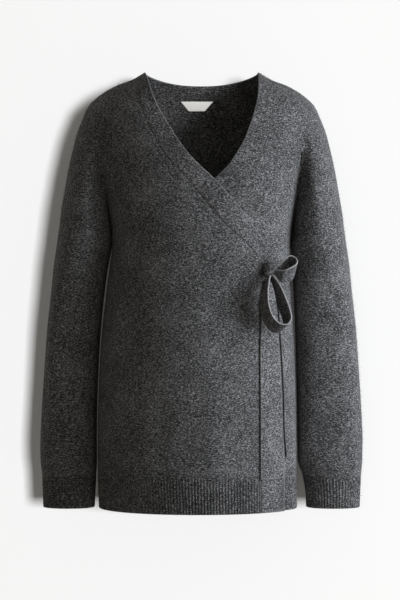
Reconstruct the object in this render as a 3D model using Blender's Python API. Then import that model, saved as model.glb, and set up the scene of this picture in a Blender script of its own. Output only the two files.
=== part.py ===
"""Wrap cardigan in soft fine knit, filled out as worn and empty inside.

The front faces -Y and +Z is up. The origin lies midway between the two neck points, where the
wearer's shoulders carry the garment. Each cut piece is a wall of cloth between an outer and an
inner grid of points, and all grids follow one body surface worked out from the tables below.
Right and left are the wearer's: the right front lies on top and has negative x.
"""

import math

import bpy
import numpy as np

# Cloth and seams, in metres
WALL = 0.0024
SEAM_GAP = 0.0003
LAYER = 0.0051
LAYER_REACH = (0.016, 0.032)
RIB_PITCH = 0.0046
RIB_RAISE = 0.0011
TIE_THICKNESS = 0.0022
TIE_WIDTH = 0.036

# Main heights, down from the neck points
UNDERARM_Z = -0.270
RIB_TOP_Z = -0.628
HEM_Z = -0.686
CUFF_TOP_Z = -0.637
CUFF_Z = -0.687
BACK_SEAM_Z = -0.035
BACK_NECK_Z = -0.012

# How the surface is rounded
BACK_SQUARE = 2.3
ROUND = 0.045
ARM_DEPTH = 0.055
WEB = 0.006
SPREAD = 0.020
SPREAD_TOP_Z = -0.090
FOLD_FLARE_Z = -0.150
FOLD_CLOSE = 0.020
FOLD_INSET = 0.0025
FOLD_RELAX = 0.120

# Grid steps
TOP_ROWS = 10
TRUNK_STEPS = 9
ARM_STEPS = 7
NECK_STEPS = 5
SLEEVE_ROWS = 10


def table(names, rows):
    """Columns of a short table, by name"""
    return dict(zip(names.split(), np.array(rows, float).T))


# Outline seen from the front: back neck, neck point, band seam, shoulder, arm
NECK_NODE = 2
BAND_NODE = 3
FOLD_NODE = 6
ARMHOLE_NODE = 12
OUTLINE = table("half_width height", [
    (0.0000, 0.0400),
    (0.0450, 0.0220),
    (0.0890, 0.0000),
    (0.1090, -0.0115),
    (0.1360, -0.0220),
    (0.1640, -0.0395),
    (0.1785, -0.0540),
    (0.1880, -0.0743),
    (0.1959, -0.0948),
    (0.2038, -0.1248),
    (0.2117, -0.1612),
    (0.2180, -0.1975),
    (0.2217, -0.2190),
    (0.2244, -0.2402),
    (0.2291, -0.2812),
    (0.2354, -0.3255),
])

# Level sections of the body; above the underarm half_width is the fold beside the arm
BODY = table("height half_width front_depth back_depth lean front_square", [
    (0.040, 0.1620, 0.068, 0.070, 0.0000, 2.30),
    (-0.010, 0.1620, 0.078, 0.077, 0.0000, 2.30),
    (-0.050, 0.1610, 0.092, 0.087, 0.0000, 2.30),
    (-0.100, 0.1575, 0.106, 0.096, 0.0000, 2.30),
    (-0.185, 0.1495, 0.116, 0.099, 0.0000, 2.30),
    (-0.270, 0.1405, 0.118, 0.090, 0.0000, 2.30),
    (-0.320, 0.1440, 0.122, 0.087, -0.0028, 2.10),
    (-0.420, 0.1522, 0.128, 0.096, -0.0058, 2.00),
    (-0.520, 0.1560, 0.126, 0.107, -0.0069, 2.00),
    (-0.628, 0.1570, 0.117, 0.110, -0.0066, 2.02),
    (-0.686, 0.1558, 0.110, 0.109, -0.0056, 2.05),
])

# Level sections of a sleeve: sides, depth, middle line, share of the body's lean, squareness
ARM = table("height inner outer half_depth middle lean_share square", [
    (-0.200, 0.1405, 0.2184, 0.0550, 0.0000, 1.0, 2.00),
    (-0.270, 0.1405, 0.2278, 0.0550, 0.0000, 1.0, 2.00),
    (-0.300, 0.1448, 0.2325, 0.0545, 0.0040, 1.0, 2.15),
    (-0.340, 0.1490, 0.2370, 0.0525, 0.0100, 1.0, 2.45),
    (-0.400, 0.1540, 0.2440, 0.0500, 0.0160, 1.0, 2.80),
    (-0.470, 0.1574, 0.2495, 0.0475, 0.0200, 1.0, 2.90),
    (-0.540, 0.1592, 0.2540, 0.0455, 0.0200, 1.0, 2.90),
    (-0.590, 0.1596, 0.2558, 0.0445, 0.0180, 1.0, 2.80),
    (-0.618, 0.1602, 0.2550, 0.0425, 0.0160, 0.9, 2.50),
    (-0.637, 0.1640, 0.2528, 0.0365, 0.0140, 0.5, 2.20),
    (-0.660, 0.1668, 0.2514, 0.0320, 0.0120, 0.3, 2.10),
    (-0.687, 0.1682, 0.2504, 0.0300, 0.0120, 0.3, 2.10),
])

# Free front edges and the level width of the band beside them
EDGE = table("height right_edge left_edge band", [
    (0.0000, -0.0890, 0.0890, 0.0200),
    (-0.0150, -0.0835, 0.0885, 0.0215),
    (-0.0410, -0.0752, 0.0868, 0.0240),
    (-0.0670, -0.0639, 0.0812, 0.0280),
    (-0.0940, -0.0484, 0.0725, 0.0320),
    (-0.1180, -0.0329, 0.0628, 0.0350),
    (-0.1385, -0.0175, 0.0505, 0.0380),
    (-0.1540, -0.0023, 0.0402, 0.0400),
    (-0.1740, 0.0192, 0.0190, 0.0425),
    (-0.1966, 0.0402, -0.0080, 0.0450),
    (-0.2178, 0.0585, -0.0320, 0.0460),
    (-0.2373, 0.0738, -0.0540, 0.0440),
    (-0.2553, 0.0862, -0.0750, 0.0380),
    (-0.2718, 0.0965, -0.0915, 0.0280),
    (-0.2900, 0.1010, -0.1030, 0.0180),
    (-0.3120, 0.1045, -0.1080, 0.0110),
    (-0.3437, 0.1128, -0.1120, 0.0170),
    (-0.3900, 0.1225, -0.1160, 0.0290),
    (-0.4500, 0.1270, -0.1190, 0.0355),
    (-0.5600, 0.1287, -0.1200, 0.0370),
    (-0.6860, 0.1291, -0.1200, 0.0370),
])

# Soft folds of the front and back: start, end, depth (negative is a trough), half width
FRONT_FOLDS = table("start_x start_z end_x end_z depth width", [
    (0.0960, -0.3110, -0.0560, -0.2940, -0.0022, 0.0090),
    (0.0950, -0.3250, -0.0150, -0.4040, -0.0030, 0.0110),
    (0.0980, -0.3300, 0.0600, -0.4300, -0.0020, 0.0120),
    (0.0880, -0.2640, 0.0960, -0.3020, -0.0035, 0.0060),
    (-0.0020, -0.2140, 0.0540, -0.2760, -0.0022, 0.0120),
    (-0.1230, -0.4150, -0.1370, -0.5600, -0.0040, 0.0130),
    (-0.1250, -0.2500, -0.0700, -0.2950, -0.0025, 0.0140),
])
BACK_FOLDS = table("start_x start_z end_x end_z depth width", [
    (0.1150, -0.2700, 0.0150, -0.3650, -0.0030, 0.0150),
    (-0.1150, -0.2600, -0.0350, -0.3400, -0.0032, 0.0140),
    (-0.0900, -0.3900, -0.1050, -0.5300, -0.0030, 0.0150),
    (0.0600, -0.4300, 0.0750, -0.5800, -0.0026, 0.0160),
])

# Lengthwise folds of the sleeves: angle from the outer side towards the front, in degrees
RIGHT_ARM_FOLDS = table("angle top bottom depth width", [
    (38.0, -0.430, -0.620, -0.0030, 14.0),
    (118.0, -0.330, -0.470, -0.0026, 15.0),
    (-55.0, -0.380, -0.560, -0.0030, 15.0),
])
LEFT_ARM_FOLDS = table("angle top bottom depth width", [
    (32.0, -0.480, -0.632, -0.0036, 13.0),
    (105.0, -0.520, -0.625, -0.0024, 14.0),
    (-62.0, -0.360, -0.520, -0.0030, 15.0),
])

# Bow: knot, the middle lines of its loops from the knot's middle with their share of the full
# width, and the tails
KNOT_X = 0.0985
KNOT_Z = -0.3125
KNOT_RADII = (0.0105, 0.0125, 0.0100)
LOWER_LOOP_ACROSS = (-0.011, 0.033, -0.014)
LOWER_LOOP = table("x y z share", [
    (0.00233, -0.00718, -0.01079, 0.35),
    (0.0106, -0.0231, -0.0307, 0.75),
    (0.0171, -0.0301, -0.0517, 1.00),
    (0.0231, -0.0316, -0.0692, 1.00),
    (0.0246, -0.0321, -0.0802, 1.00),
    (0.0186, -0.0321, -0.0887, 1.00),
    (0.0086, -0.0321, -0.0882, 1.00),
    (-0.0014, -0.0321, -0.0797, 1.00),
    (-0.0084, -0.0321, -0.0627, 1.00),
    (-0.0104, -0.0301, -0.0437, 1.00),
    (-0.0079, -0.0231, -0.0287, 0.75),
    (-0.00213, -0.00696, -0.01046, 0.35),
])
UPPER_LOOP_ACROSS = (-0.004, 0.028, -0.0216)
UPPER_LOOP = table("x y z share", [
    (0.00908, -0.00611, -0.0044, 0.40),
    (0.0191, -0.0091, -0.0099, 0.85),
    (0.0279, -0.0086, -0.0076, 1.00),
    (0.0361, -0.0051, -0.0027, 1.00),
    (0.0384, 0.0009, 0.0028, 1.00),
    (0.0351, 0.0059, 0.0083, 1.00),
    (0.0276, 0.0074, 0.0108, 1.00),
    (0.0198, 0.0049, 0.0068, 0.85),
    (0.01146, -0.00054, 0.00116, 0.40),
])
FRONT_TAIL = table("height left right", [
    (-0.3300, 0.0970, 0.1070),
    (-0.3600, 0.0925, 0.1120),
    (-0.4200, 0.0885, 0.1163),
    (-0.5000, 0.0885, 0.1210),
    (-0.5700, 0.0888, 0.1240),
    (-0.6340, 0.0890, 0.1250),
])
BACK_TAIL = table("height left right", [
    (-0.3310, 0.1090, 0.1170),
    (-0.3600, 0.1150, 0.1300),
    (-0.4200, 0.1201, 0.1395),
    (-0.5000, 0.1250, 0.1430),
    (-0.5700, 0.1270, 0.1440),
    (-0.6020, 0.1300, 0.1440),
])
TAIL_GAP = 0.0009

# Neck label: a bare woven strip below the back neck seam
LABEL_LEFT = -0.034
LABEL_RIGHT = 0.019
LABEL_TAPER = 0.0135
LABEL_DROP = 0.0155
LABEL_THICKNESS = 0.0008

# Colours (linear), by cloth
CLOTH = (0.042, 0.043, 0.046, 1.0)
RIB_CLOTH = (0.040, 0.041, 0.044, 1.0)
LABEL_CLOTH = (0.80, 0.80, 0.78, 1.0)


def hermite(knots, values, at):
    """Smooth curve through values at rising knots"""
    at = np.clip(at, knots[0], knots[-1])
    slopes = np.gradient(values, knots)
    i = np.clip(np.searchsorted(knots, at) - 1, 0, len(knots) - 2)
    step = knots[i + 1] - knots[i]
    t = (at - knots[i]) / step
    rise = 3 * t**2 - 2 * t**3
    lead = t**3 - 2 * t**2 + t
    trail = t**3 - t**2
    bend = lead * slopes[i] + trail * slopes[i + 1]
    return values[i] * (1 - rise) + values[i + 1] * rise + step * bend


def at_height(columns, name, z):
    """One column of a table at any height"""
    return hermite(columns["height"][::-1], columns[name][::-1], z)


def rounding(t):
    """Quarter circle: 0 at the outline, 1 from t = 1 on"""
    t = np.clip(t, 0.0, 1.0)
    return np.sqrt(1 - (1 - t) ** 2)


def fade(low, high, value):
    """1 below low, 0 above high, smooth between"""
    t = np.clip((value - low) / (high - low), 0.0, 1.0)
    return 1 - t * t * (3 - 2 * t)


# The outline as a curve by its length, and as close points
OUTLINE_STEPS = np.hypot(np.diff(OUTLINE["half_width"]), np.diff(OUTLINE["height"]))
OUTLINE_LENGTH = np.concatenate([[0.0], np.cumsum(OUTLINE_STEPS)])


def outline(length):
    """Half width and height of the outline at a length along it"""
    half_width = hermite(OUTLINE_LENGTH, OUTLINE["half_width"], length)
    return half_width, hermite(OUTLINE_LENGTH, OUTLINE["height"], length)


DENSE_X, DENSE_Z = outline(np.linspace(0, OUTLINE_LENGTH[-1], 400))


def outline_distance(x, z):
    """Distance from a point of the front view to the outline"""
    x = np.abs(np.asarray(x, float))[..., None]
    z = np.asarray(z, float)[..., None]
    ax, az = DENSE_X[:-1], DENSE_Z[:-1]
    bx, bz = np.diff(DENSE_X), np.diff(DENSE_Z)
    t = np.clip(((x - ax) * bx + (z - az) * bz) / (bx**2 + bz**2), 0, 1)
    return np.hypot(x - ax - t * bx, z - az - t * bz).min(axis=-1)


def fold_depth(folds, x, z):
    """Sum of soft folds: each is deepest at its middle and dies out towards its ends"""
    total = np.zeros(np.shape(x))
    for x0, z0, x1, z1, depth, width in zip(*folds.values()):
        run = (x1 - x0) ** 2 + (z1 - z0) ** 2
        t = np.clip(((x - x0) * (x1 - x0) + (z - z0) * (z1 - z0)) / run, 0, 1)
        away = np.hypot(x - x0 - t * (x1 - x0), z - z0 - t * (z1 - z0))
        total += depth * np.exp(-((away / width) ** 2)) * (1 - 0.6 * t)
    return total


def body_half_depth(face, x, z, folded=True):
    """Depth of one face from the middle plane, at any place of the front view"""
    x, z = np.broadcast_arrays(np.asarray(x, float), np.asarray(z, float))
    deep = at_height(BODY, face + "_depth", z)
    side = at_height(BODY, "half_width", z)
    reach = np.abs(x - at_height(BODY, "lean", z))
    above = np.clip(z - UNDERARM_Z, 0, None)
    spread = SPREAD * (above / (SPREAD_TOP_Z - UNDERARM_Z)) ** 2.2
    share = np.clip(reach / (side + spread), 0, 1)
    square = at_height(BODY, "front_square", z) if face == "front" else BACK_SQUARE
    trunk = deep * (1 - share**square) ** (1 / square)
    outer = np.interp(-z, -DENSE_Z, DENSE_X)
    inner = side - spread
    middle = (inner + outer) / 2
    across = np.clip((middle - reach) / (middle - inner), 0, 1)
    arm = np.where(above > 0, ARM_DEPTH * np.sqrt(1 - across**2), 0)
    web = WEB * rounding(above / (2 * WEB))
    flat = (trunk**6 + arm**6 + web**6) ** (1 / 6)
    near_side = fade(0.90, 1.0, reach / (side + spread + 1e-9))
    folds = FRONT_FOLDS if face == "front" else BACK_FOLDS
    if folded:
        flat = flat + fold_depth(folds, x, z) * near_side * (flat > 0.02)
    rounded = np.where(above > 0, rounding(outline_distance(x, z) / ROUND), 1)
    return flat * rounded


def surface(face, x, z, folded=True):
    """Points of the front or back surface over places of the front view"""
    x, z = np.broadcast_arrays(np.asarray(x, float), np.asarray(z, float))
    y = body_half_depth(face, x, z, folded)
    if face == "front":
        y = -y
    return np.stack([x, y, z], axis=-1)


UNDERARM_X = float(at_height(BODY, "half_width", np.array(UNDERARM_Z)))
ARMHOLE_X = OUTLINE["half_width"][ARMHOLE_NODE]
ARMHOLE_Z = OUTLINE["height"][ARMHOLE_NODE]
TOP_FADE = np.linspace(0, 1, TOP_ROWS + 1) ** 1.6
BODY_HEIGHTS = np.array([-0.290, -0.312, -0.335, -0.365, -0.405, -0.455, -0.510, -0.570, RIB_TOP_Z])
HEM_HEIGHTS = np.array([HEM_Z])


def armhole(side):
    """Armhole seam in the front view, from the outline down to the underarm"""
    share = (1 - np.cos(np.pi * np.linspace(0, 1, TOP_ROWS + 1))) / 2
    x = ARMHOLE_X + (UNDERARM_X - ARMHOLE_X) * share
    z = ARMHOLE_Z + (UNDERARM_Z - ARMHOLE_Z) * share
    return side * x, z


def outline_run(side, first_node, last_node, steps):
    """Stretch of the outline between two of its nodes"""
    start, end = OUTLINE_LENGTH[first_node], OUTLINE_LENGTH[last_node]
    x, z = outline(np.linspace(start, end, steps + 1))
    return side * x, z


def arm_fold(side):
    """Line of the fold beside the arm, from the outline down to the underarm"""
    top_x = OUTLINE["half_width"][FOLD_NODE]
    top_z = OUTLINE["height"][FOLD_NODE]
    z = top_z + (UNDERARM_Z - top_z) * TOP_FADE
    flare = np.clip((z - FOLD_FLARE_Z) / (top_z - FOLD_FLARE_Z), 0, 1) ** 2
    close = np.clip(1 - (z - UNDERARM_Z) / FOLD_CLOSE, 0, 1) ** 2
    x = at_height(BODY, "half_width", z)
    x += (top_x - x[0]) * flare - FOLD_INSET * close
    return side * x, z


def coons(top, bottom, left, right, across, down):
    """Grid of the front view between four border curves"""
    grids = []
    for t, b, l, r in zip(top, bottom, left, right):
        rows = (1 - down)[:, None] * t + down[:, None] * b
        cols = (1 - across) * l[:, None] + across * r[:, None]
        ends_top = (1 - across) * t[0] + across * t[-1]
        ends_low = (1 - across) * b[0] + across * b[-1]
        corners = (1 - down)[:, None] * ends_top + down[:, None] * ends_low
        grids.append(rows + cols - corners)
    return grids


def level_row(start_x, side, z, steps):
    """Places from start_x to the side seam, even round the body"""
    wide = at_height(BODY, "half_width", z)
    lean = at_height(BODY, "lean", z)
    first = np.arcsin(np.clip((start_x - lean) / wide, -1, 1))
    turn = np.linspace(first, side * np.pi / 2, steps + 1)
    return lean + wide * np.sin(turn)


def panel_row(start_x, side, z, steps):
    """Level row of a panel: trunk steps, then the steps that lead on to the arm above"""
    wide = at_height(BODY, "half_width", z)
    lean = at_height(BODY, "lean", z)
    first = side * np.arcsin(np.clip((start_x - lean) / wide, -1, 1))
    narrow = np.arcsin((UNDERARM_X - FOLD_INSET) / UNDERARM_X)
    even = first + (np.pi / 2 - first) * steps / (steps + ARM_STEPS)
    relax = np.clip((UNDERARM_Z - z) / FOLD_RELAX, 0, 1)
    corner = narrow + (even - narrow) * relax
    turn = np.concatenate([
        np.linspace(first, corner, steps + 1),
        np.linspace(corner, np.pi / 2, ARM_STEPS + 1)[1:],
    ])
    return lean + side * wide * np.sin(turn)


def edge_name(side):
    return "left_edge" if side > 0 else "right_edge"


def band_line(side, z):
    """Seam between a front and its band"""
    return at_height(EDGE, edge_name(side), z) + side * at_height(EDGE, "band", z)


def band_heights():
    """Row heights down the band seam to the rib's top"""
    start = OUTLINE["height"][BAND_NODE]
    top = start + (UNDERARM_Z - start) * TOP_FADE
    return np.concatenate([top, BODY_HEIGHTS])


def panel_grid(face, side, top, first_column, start):
    """Half panel: trunk, then the part over the arm, then level rows down to the rib"""
    steps = len(top[0]) - 1
    row_x = panel_row(first_column[0][-1], side, UNDERARM_Z, steps)
    row = (row_x, np.full(len(row_x), UNDERARM_Z))
    trunk_row = (row[0][: steps + 1], row[1][: steps + 1])
    arm_row = (row[0][steps:], row[1][steps:])
    over_arm = outline_run(side, FOLD_NODE, ARMHOLE_NODE, ARM_STEPS)
    fold = arm_fold(side)
    across = np.linspace(0, 1, steps + 1)
    trunk = coons(top, trunk_row, first_column, fold, across, TOP_FADE)
    across = np.linspace(0, 1, ARM_STEPS + 1)
    arm = coons(over_arm, arm_row, fold, armhole(side), across, TOP_FADE)
    x, z = (np.concatenate([a, b[:, 1:]], axis=1) for a, b in zip(trunk, arm))
    rows = [surface(face, x, z)]
    for height in BODY_HEIGHTS:
        row_x = panel_row(start(height), side, height, steps)
        rows.append(surface(face, row_x, np.full_like(row_x, height))[None])
    grid = np.concatenate(rows)
    grid[0, steps:, 1] = 0
    grid[TOP_ROWS:, -1, 1] = 0
    return grid


def front_grid(side):
    """Front panel from its band seam out to shoulder, armhole and side seam"""
    heights = band_heights()[: TOP_ROWS + 1]
    band_x = band_line(side, heights)
    band_x[0] = side * OUTLINE["half_width"][BAND_NODE]
    top = outline_run(side, BAND_NODE, FOLD_NODE, TRUNK_STEPS)
    grid = panel_grid("front", side, top, (band_x, heights), lambda z: band_line(side, z))
    grid[0, :, 1] = 0
    return grid


def neck_seam(side):
    """Back neck seam and shoulder, from the centre back out to the fold beside the arm"""
    turn = np.linspace(0, np.pi / 2, NECK_STEPS + 1)
    reach = OUTLINE["half_width"][BAND_NODE]
    end_z = OUTLINE["height"][BAND_NODE]
    x = reach * np.sin(turn)
    z = BACK_SEAM_Z + (end_z - BACK_SEAM_Z) * np.sin(turn) ** 2.4
    out_x, out_z = outline_run(side, BAND_NODE, FOLD_NODE, TRUNK_STEPS)
    return np.concatenate([side * x, out_x[1:]]), np.concatenate([z, out_z[1:]])


def half_back(side):
    """Half of the back panel, from the centre line out"""
    left_z = BACK_SEAM_Z + (UNDERARM_Z - BACK_SEAM_Z) * TOP_FADE
    centre = (np.zeros(TOP_ROWS + 1), left_z)
    grid = panel_grid("back", side, neck_seam(side), centre, lambda z: at_height(BODY, "lean", z))
    grid[0, NECK_STEPS:, 1] = 0
    return grid


def back_grid():
    """Back panel from the right side seam to the left one"""
    right = half_back(-1)
    left = half_back(1)
    return np.concatenate([right[:, ::-1], left[:, 1:]], axis=1)


def band_grid(side):
    """Front band from its seam to the free edge, from the shoulder to the hem"""
    seam_z = np.concatenate([band_heights(), HEM_HEIGHTS])
    seam_x = band_line(side, seam_z)
    seam_x[0] = side * OUTLINE["half_width"][BAND_NODE]
    rise = -OUTLINE["height"][BAND_NODE] * np.clip(1 - np.arange(len(seam_z)) / 4, 0, 1)
    edge_z = seam_z + rise
    edge_x = at_height(EDGE, edge_name(side), edge_z)
    edge_x[0] = side * OUTLINE["half_width"][NECK_NODE]
    x = np.stack([seam_x, (seam_x + edge_x) / 2, edge_x], axis=1)
    z = np.stack([seam_z, (seam_z + edge_z) / 2, edge_z], axis=1)
    middle = (OUTLINE_LENGTH[BAND_NODE] + OUTLINE_LENGTH[NECK_NODE]) / 2
    middle_x, z[0, 1] = outline(np.array(middle))
    x[0, 1] = side * middle_x
    grid = surface("front", x, z)
    grid[0, :, 1] = 0
    return grid


def neck_band_grid():
    """Back neck band from its seam up to the free edge, shoulder to shoulder"""
    turn = np.linspace(-np.pi / 2, np.pi / 2, 2 * NECK_STEPS + 1)
    seam = [np.concatenate([a[NECK_STEPS:0:-1], b[: NECK_STEPS + 1]])
            for a, b in zip(neck_seam(-1), neck_seam(1))]
    edge_x = OUTLINE["half_width"][NECK_NODE] * np.sin(turn)
    edge_z = BACK_NECK_Z * np.cos(turn) ** 2
    x = np.stack([seam[0], (seam[0] + edge_x) / 2, edge_x])
    z = np.stack([seam[1], (seam[1] + edge_z) / 2, edge_z])
    middle = (OUTLINE_LENGTH[BAND_NODE] + OUTLINE_LENGTH[NECK_NODE]) / 2
    middle_x, middle_z = outline(np.array(middle))
    x[1, 0], x[1, -1] = -middle_x, middle_x
    z[1, 0], z[1, -1] = middle_z, middle_z
    grid = surface("back", x, z)
    grid[:, [0, -1], 1] = 0
    return grid


def arm_section(side, angle, z):
    """Point of a sleeve at an angle from its outer side towards the front"""
    share = at_height(ARM, "lean_share", z)
    inner = at_height(ARM, "inner", z) + side * share * at_height(BODY, "lean", z)
    outer = at_height(ARM, "outer", z)
    half_depth = at_height(ARM, "half_depth", z)
    folds = LEFT_ARM_FOLDS if side > 0 else RIGHT_ARM_FOLDS
    pull = np.zeros(np.shape(z * angle))
    for degrees, top, bottom, depth, width in zip(*folds.values()):
        away = (np.degrees(angle) - degrees + 180) % 360 - 180
        along = np.clip((top - z) / (top - bottom), 0, 1)
        pull = pull + depth * np.exp(-((away / width) ** 2)) * np.sin(np.pi * along) ** 2
    middle = (inner + outer) / 2
    power = 2 / at_height(ARM, "square", z)
    across, forward = (np.sign(v) * np.abs(v) ** power for v in (np.cos(angle), np.sin(angle)))
    x = middle + ((outer - inner) / 2 + pull) * across
    y = at_height(ARM, "middle", z) - (half_depth + pull) * forward
    return np.stack(np.broadcast_arrays(side * x, y, z), axis=-1)


def sleeve_grid(side):
    """Sleeve from the armhole seam down to the cuff, closed round the arm"""
    seam_x, seam_z = armhole(side)
    front = surface("front", seam_x, seam_z)
    back = surface("back", seam_x, seam_z)
    front[[0, -1], 1] = 0
    seam = np.concatenate([front, back[-2:0:-1]])
    angle = np.linspace(0, 2 * np.pi, 2 * TOP_ROWS + 1)[:-1]
    plain = arm_section(side, angle, seam[:, 2])
    rows = []
    for k in range(SLEEVE_ROWS + 1):
        down = k / SLEEVE_ROWS
        z = seam[:, 2] + (CUFF_TOP_Z - seam[:, 2]) * down
        rows.append(arm_section(side, angle, z) + (seam - plain) * (1 - down) ** 3)
    return np.stack(rows)


def quad_normals(grid, closed):
    """Normal of each cell of a grid, by its diagonals"""
    if closed:
        grid = np.concatenate([grid, grid[:, :1]], axis=1)
    first = grid[1:, 1:] - grid[:-1, :-1]
    second = grid[1:, :-1] - grid[:-1, 1:]
    return np.cross(first, second)


def place_key(point):
    return tuple(np.round(point / 1e-5).astype(int))


def add_cell_normals(totals, grid, closed):
    """Add each cell's normal to the places of its corners"""
    cells = quad_normals(grid, closed)
    count = grid.shape[1]
    wide = np.concatenate([grid, grid[:, :1]], axis=1) if closed else grid
    centre = (wide[1:, 1:] + wide[:-1, :-1]) / 2
    axis = grid.reshape(-1, 3).mean(axis=0) * (1, 0, 1)
    if not closed:
        axis[0] = 0
    if (cells * (centre - axis)).sum() < 0:
        cells = -cells
    for i in range(cells.shape[0]):
        for j in range(cells.shape[1]):
            for row, col in ((i, j), (i + 1, j), (i, j + 1), (i + 1, j + 1)):
                key = place_key(grid[row, col % count])
                totals[key] = totals.get(key, 0) + cells[i, j]


def grid_normals(totals, grid, level_row_index=None):
    """Unit normals of a grid's points, shared with the grids that it meets"""
    normals = np.array([[totals[place_key(p)] for p in row] for row in grid])
    if level_row_index is not None:
        normals[level_row_index, :, 2] = 0
    return normals / np.linalg.norm(normals, axis=-1, keepdims=True)


def inset(points, borders):
    """Move seamed borders of a grid inwards by half a seam gap"""
    moved = points.copy()
    pairs = {"top": (0, 1), "bottom": (-1, -2), "left": (0, 1), "right": (-1, -2)}
    for border in borders:
        edge, beside = pairs[border]
        if border in ("top", "bottom"):
            line, inner = points[edge], points[beside]
        else:
            line, inner = points[:, edge], points[:, beside]
        along = np.gradient(line, axis=0)
        along /= np.linalg.norm(along, axis=-1, keepdims=True) + 1e-12
        inwards = inner - line
        inwards -= (inwards * along).sum(axis=-1, keepdims=True) * along
        inwards /= np.linalg.norm(inwards, axis=-1, keepdims=True) + 1e-12
        shift = inwards * SEAM_GAP / 2
        if border in ("top", "bottom"):
            moved[edge] += shift
        else:
            moved[:, edge] += shift
    return moved


def material(name, colour, roughness):
    made = bpy.data.materials.new(name)
    made.use_nodes = True
    shader = made.node_tree.nodes["Principled BSDF"]
    shader.inputs["Base Color"].default_value = colour
    shader.inputs["Roughness"].default_value = roughness
    shader.inputs["Metallic"].default_value = 0.0
    return made


def signed_volume(points, faces):
    total = 0.0
    for face in faces:
        a = points[face[0]]
        for b, c in zip(face[1:-1], face[2:]):
            total += np.dot(a, np.cross(points[b], points[c]))
    return total


def add_object(name, points, faces, colour, roughness=0.9):
    """One named closed body with its own material"""
    points = np.asarray(points, float)
    if signed_volume(points, faces) < 0:
        faces = [face[::-1] for face in faces]
    mesh = bpy.data.meshes.new(name)
    mesh.from_pydata(points.tolist(), [], faces)
    mesh.shade_smooth()
    mesh.set_sharp_from_angle(angle=math.radians(50))
    mesh.materials.append(material(name + "_finish", colour, roughness))
    made = bpy.data.objects.new(name, mesh)
    bpy.context.scene.collection.objects.link(made)
    return made


def lower_first(a, b):
    """Same order for two neighbouring seam points whichever panel asks"""
    for axis in (2, 0, 1):
        if abs(a[axis] - b[axis]) > 2 * SEAM_GAP:
            return a[axis] < b[axis]
    return True


def wall(name, outer, inner, colour, closed=False):
    """Closed body between an outer and an inner grid"""
    rows, cols = outer.shape[:2]
    points = np.concatenate([outer.reshape(-1, 3), inner.reshape(-1, 3)])
    offset = rows * cols
    faces = []
    for i in range(rows - 1):
        for j in range(cols if closed else cols - 1):
            a, b = i * cols + j, i * cols + (j + 1) % cols
            c, d = b + cols, a + cols
            faces.append((a, b, c, d))
            faces.append((a + offset, d + offset, c + offset, b + offset))
    border = []
    for j in range(cols if closed else cols - 1):
        k = (j + 1) % cols
        last = (rows - 1) * cols
        border.append((k, j))
        border.append((last + j, last + k))
    if not closed:
        for i in range(rows - 1):
            border.append((i * cols, (i + 1) * cols))
            border.append(((i + 2) * cols - 1, (i + 1) * cols - 1))
    for a, b in border:
        if lower_first(points[a], points[b]):
            faces += [(a, b, b + offset), (a, b + offset, a + offset)]
        else:
            faces += [(a, b, a + offset), (b, b + offset, a + offset)]
    return add_object(name, points, faces, colour)


def covered(x, z):
    """1 where the right front lies over the left one, fading out just past its edge"""
    beyond = x - at_height(EDGE, "right_edge", z)
    side = at_height(BODY, "half_width", z) + at_height(BODY, "lean", z)
    reach = np.clip(0.8 * (side - at_height(EDGE, "right_edge", z)), *LAYER_REACH)
    step = 0.002
    below, above = (at_height(EDGE, "right_edge", z + sign * step) for sign in (-1, 1))
    slope = (below - above) / (2 * step)
    return fade(0.35 * reach, reach, beyond / np.hypot(1, slope))


def tucked(points, normals):
    """Left front's points, moved in under the right front"""
    depth = LAYER * covered(points[..., 0], points[..., 2])
    return points - normals * depth[..., None]


def rib_wall(name, rows, count, colour, closed=False):
    """Ribbed wall over a plain inside; each row gives base points and outward normals by share"""
    per_inner = 4
    outer_count = 2 * count if closed else 2 * count + 1
    inner_count = count // 2 if closed else count // 2 + 1
    sign = np.where(np.arange(outer_count) % 2 == 0, -0.5, 0.5)[:, None]
    outer_share = np.arange(outer_count) / (2 * count)
    inner_share = np.arange(inner_count) * per_inner / (2 * count)
    outer, inner = [], []
    for row in rows:
        base, normal = row(outer_share)
        outer.append(base + normal * RIB_RAISE * sign)
        base, normal = row(inner_share)
        inner.append(base - normal * WALL)
    points = np.concatenate(outer + inner)
    offset = len(rows) * outer_count
    faces = []

    def ring(start, row, col, size):
        return start + row * size + (col % size if closed else col)

    for i in range(len(rows) - 1):
        for j in range(2 * count):
            faces.append((ring(0, i, j, outer_count), ring(0, i, j + 1, outer_count),
                          ring(0, i + 1, j + 1, outer_count), ring(0, i + 1, j, outer_count)))
        for j in range(count // 2):
            faces.append((ring(offset, i, j, inner_count), ring(offset, i + 1, j, inner_count),
                          ring(offset, i + 1, j + 1, inner_count), ring(offset, i, j + 1, inner_count)))
        if not closed:
            faces.append((ring(0, i, 0, outer_count), ring(0, i + 1, 0, outer_count),
                          ring(offset, i + 1, 0, inner_count), ring(offset, i, 0, inner_count)))
            end, inner_end = 2 * count, count // 2
            faces.append((ring(0, i, end, outer_count), ring(offset, i, inner_end, inner_count),
                          ring(offset, i + 1, inner_end, inner_count), ring(0, i + 1, end, outer_count)))
    for row, order in ((0, 1), (len(rows) - 1, -1)):
        for j in range(count // 2):
            face = [ring(offset, row, j, inner_count), ring(offset, row, j + 1, inner_count)]
            face += [ring(0, row, per_inner * j + k, outer_count) for k in range(per_inner, -1, -1)]
            faces.append(tuple(face[::order]))
    return add_object(name, points, faces, colour)


def level_normals(points, outward_from):
    """Level normals of a row of points, pointing away from a middle point"""
    along = np.gradient(points, axis=0)
    normals = np.stack([along[:, 1], -along[:, 0], np.zeros(len(points))], axis=1)
    if (normals * (points - outward_from)).sum() < 0:
        normals = -normals
    return normals / np.linalg.norm(normals, axis=1, keepdims=True)


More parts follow.
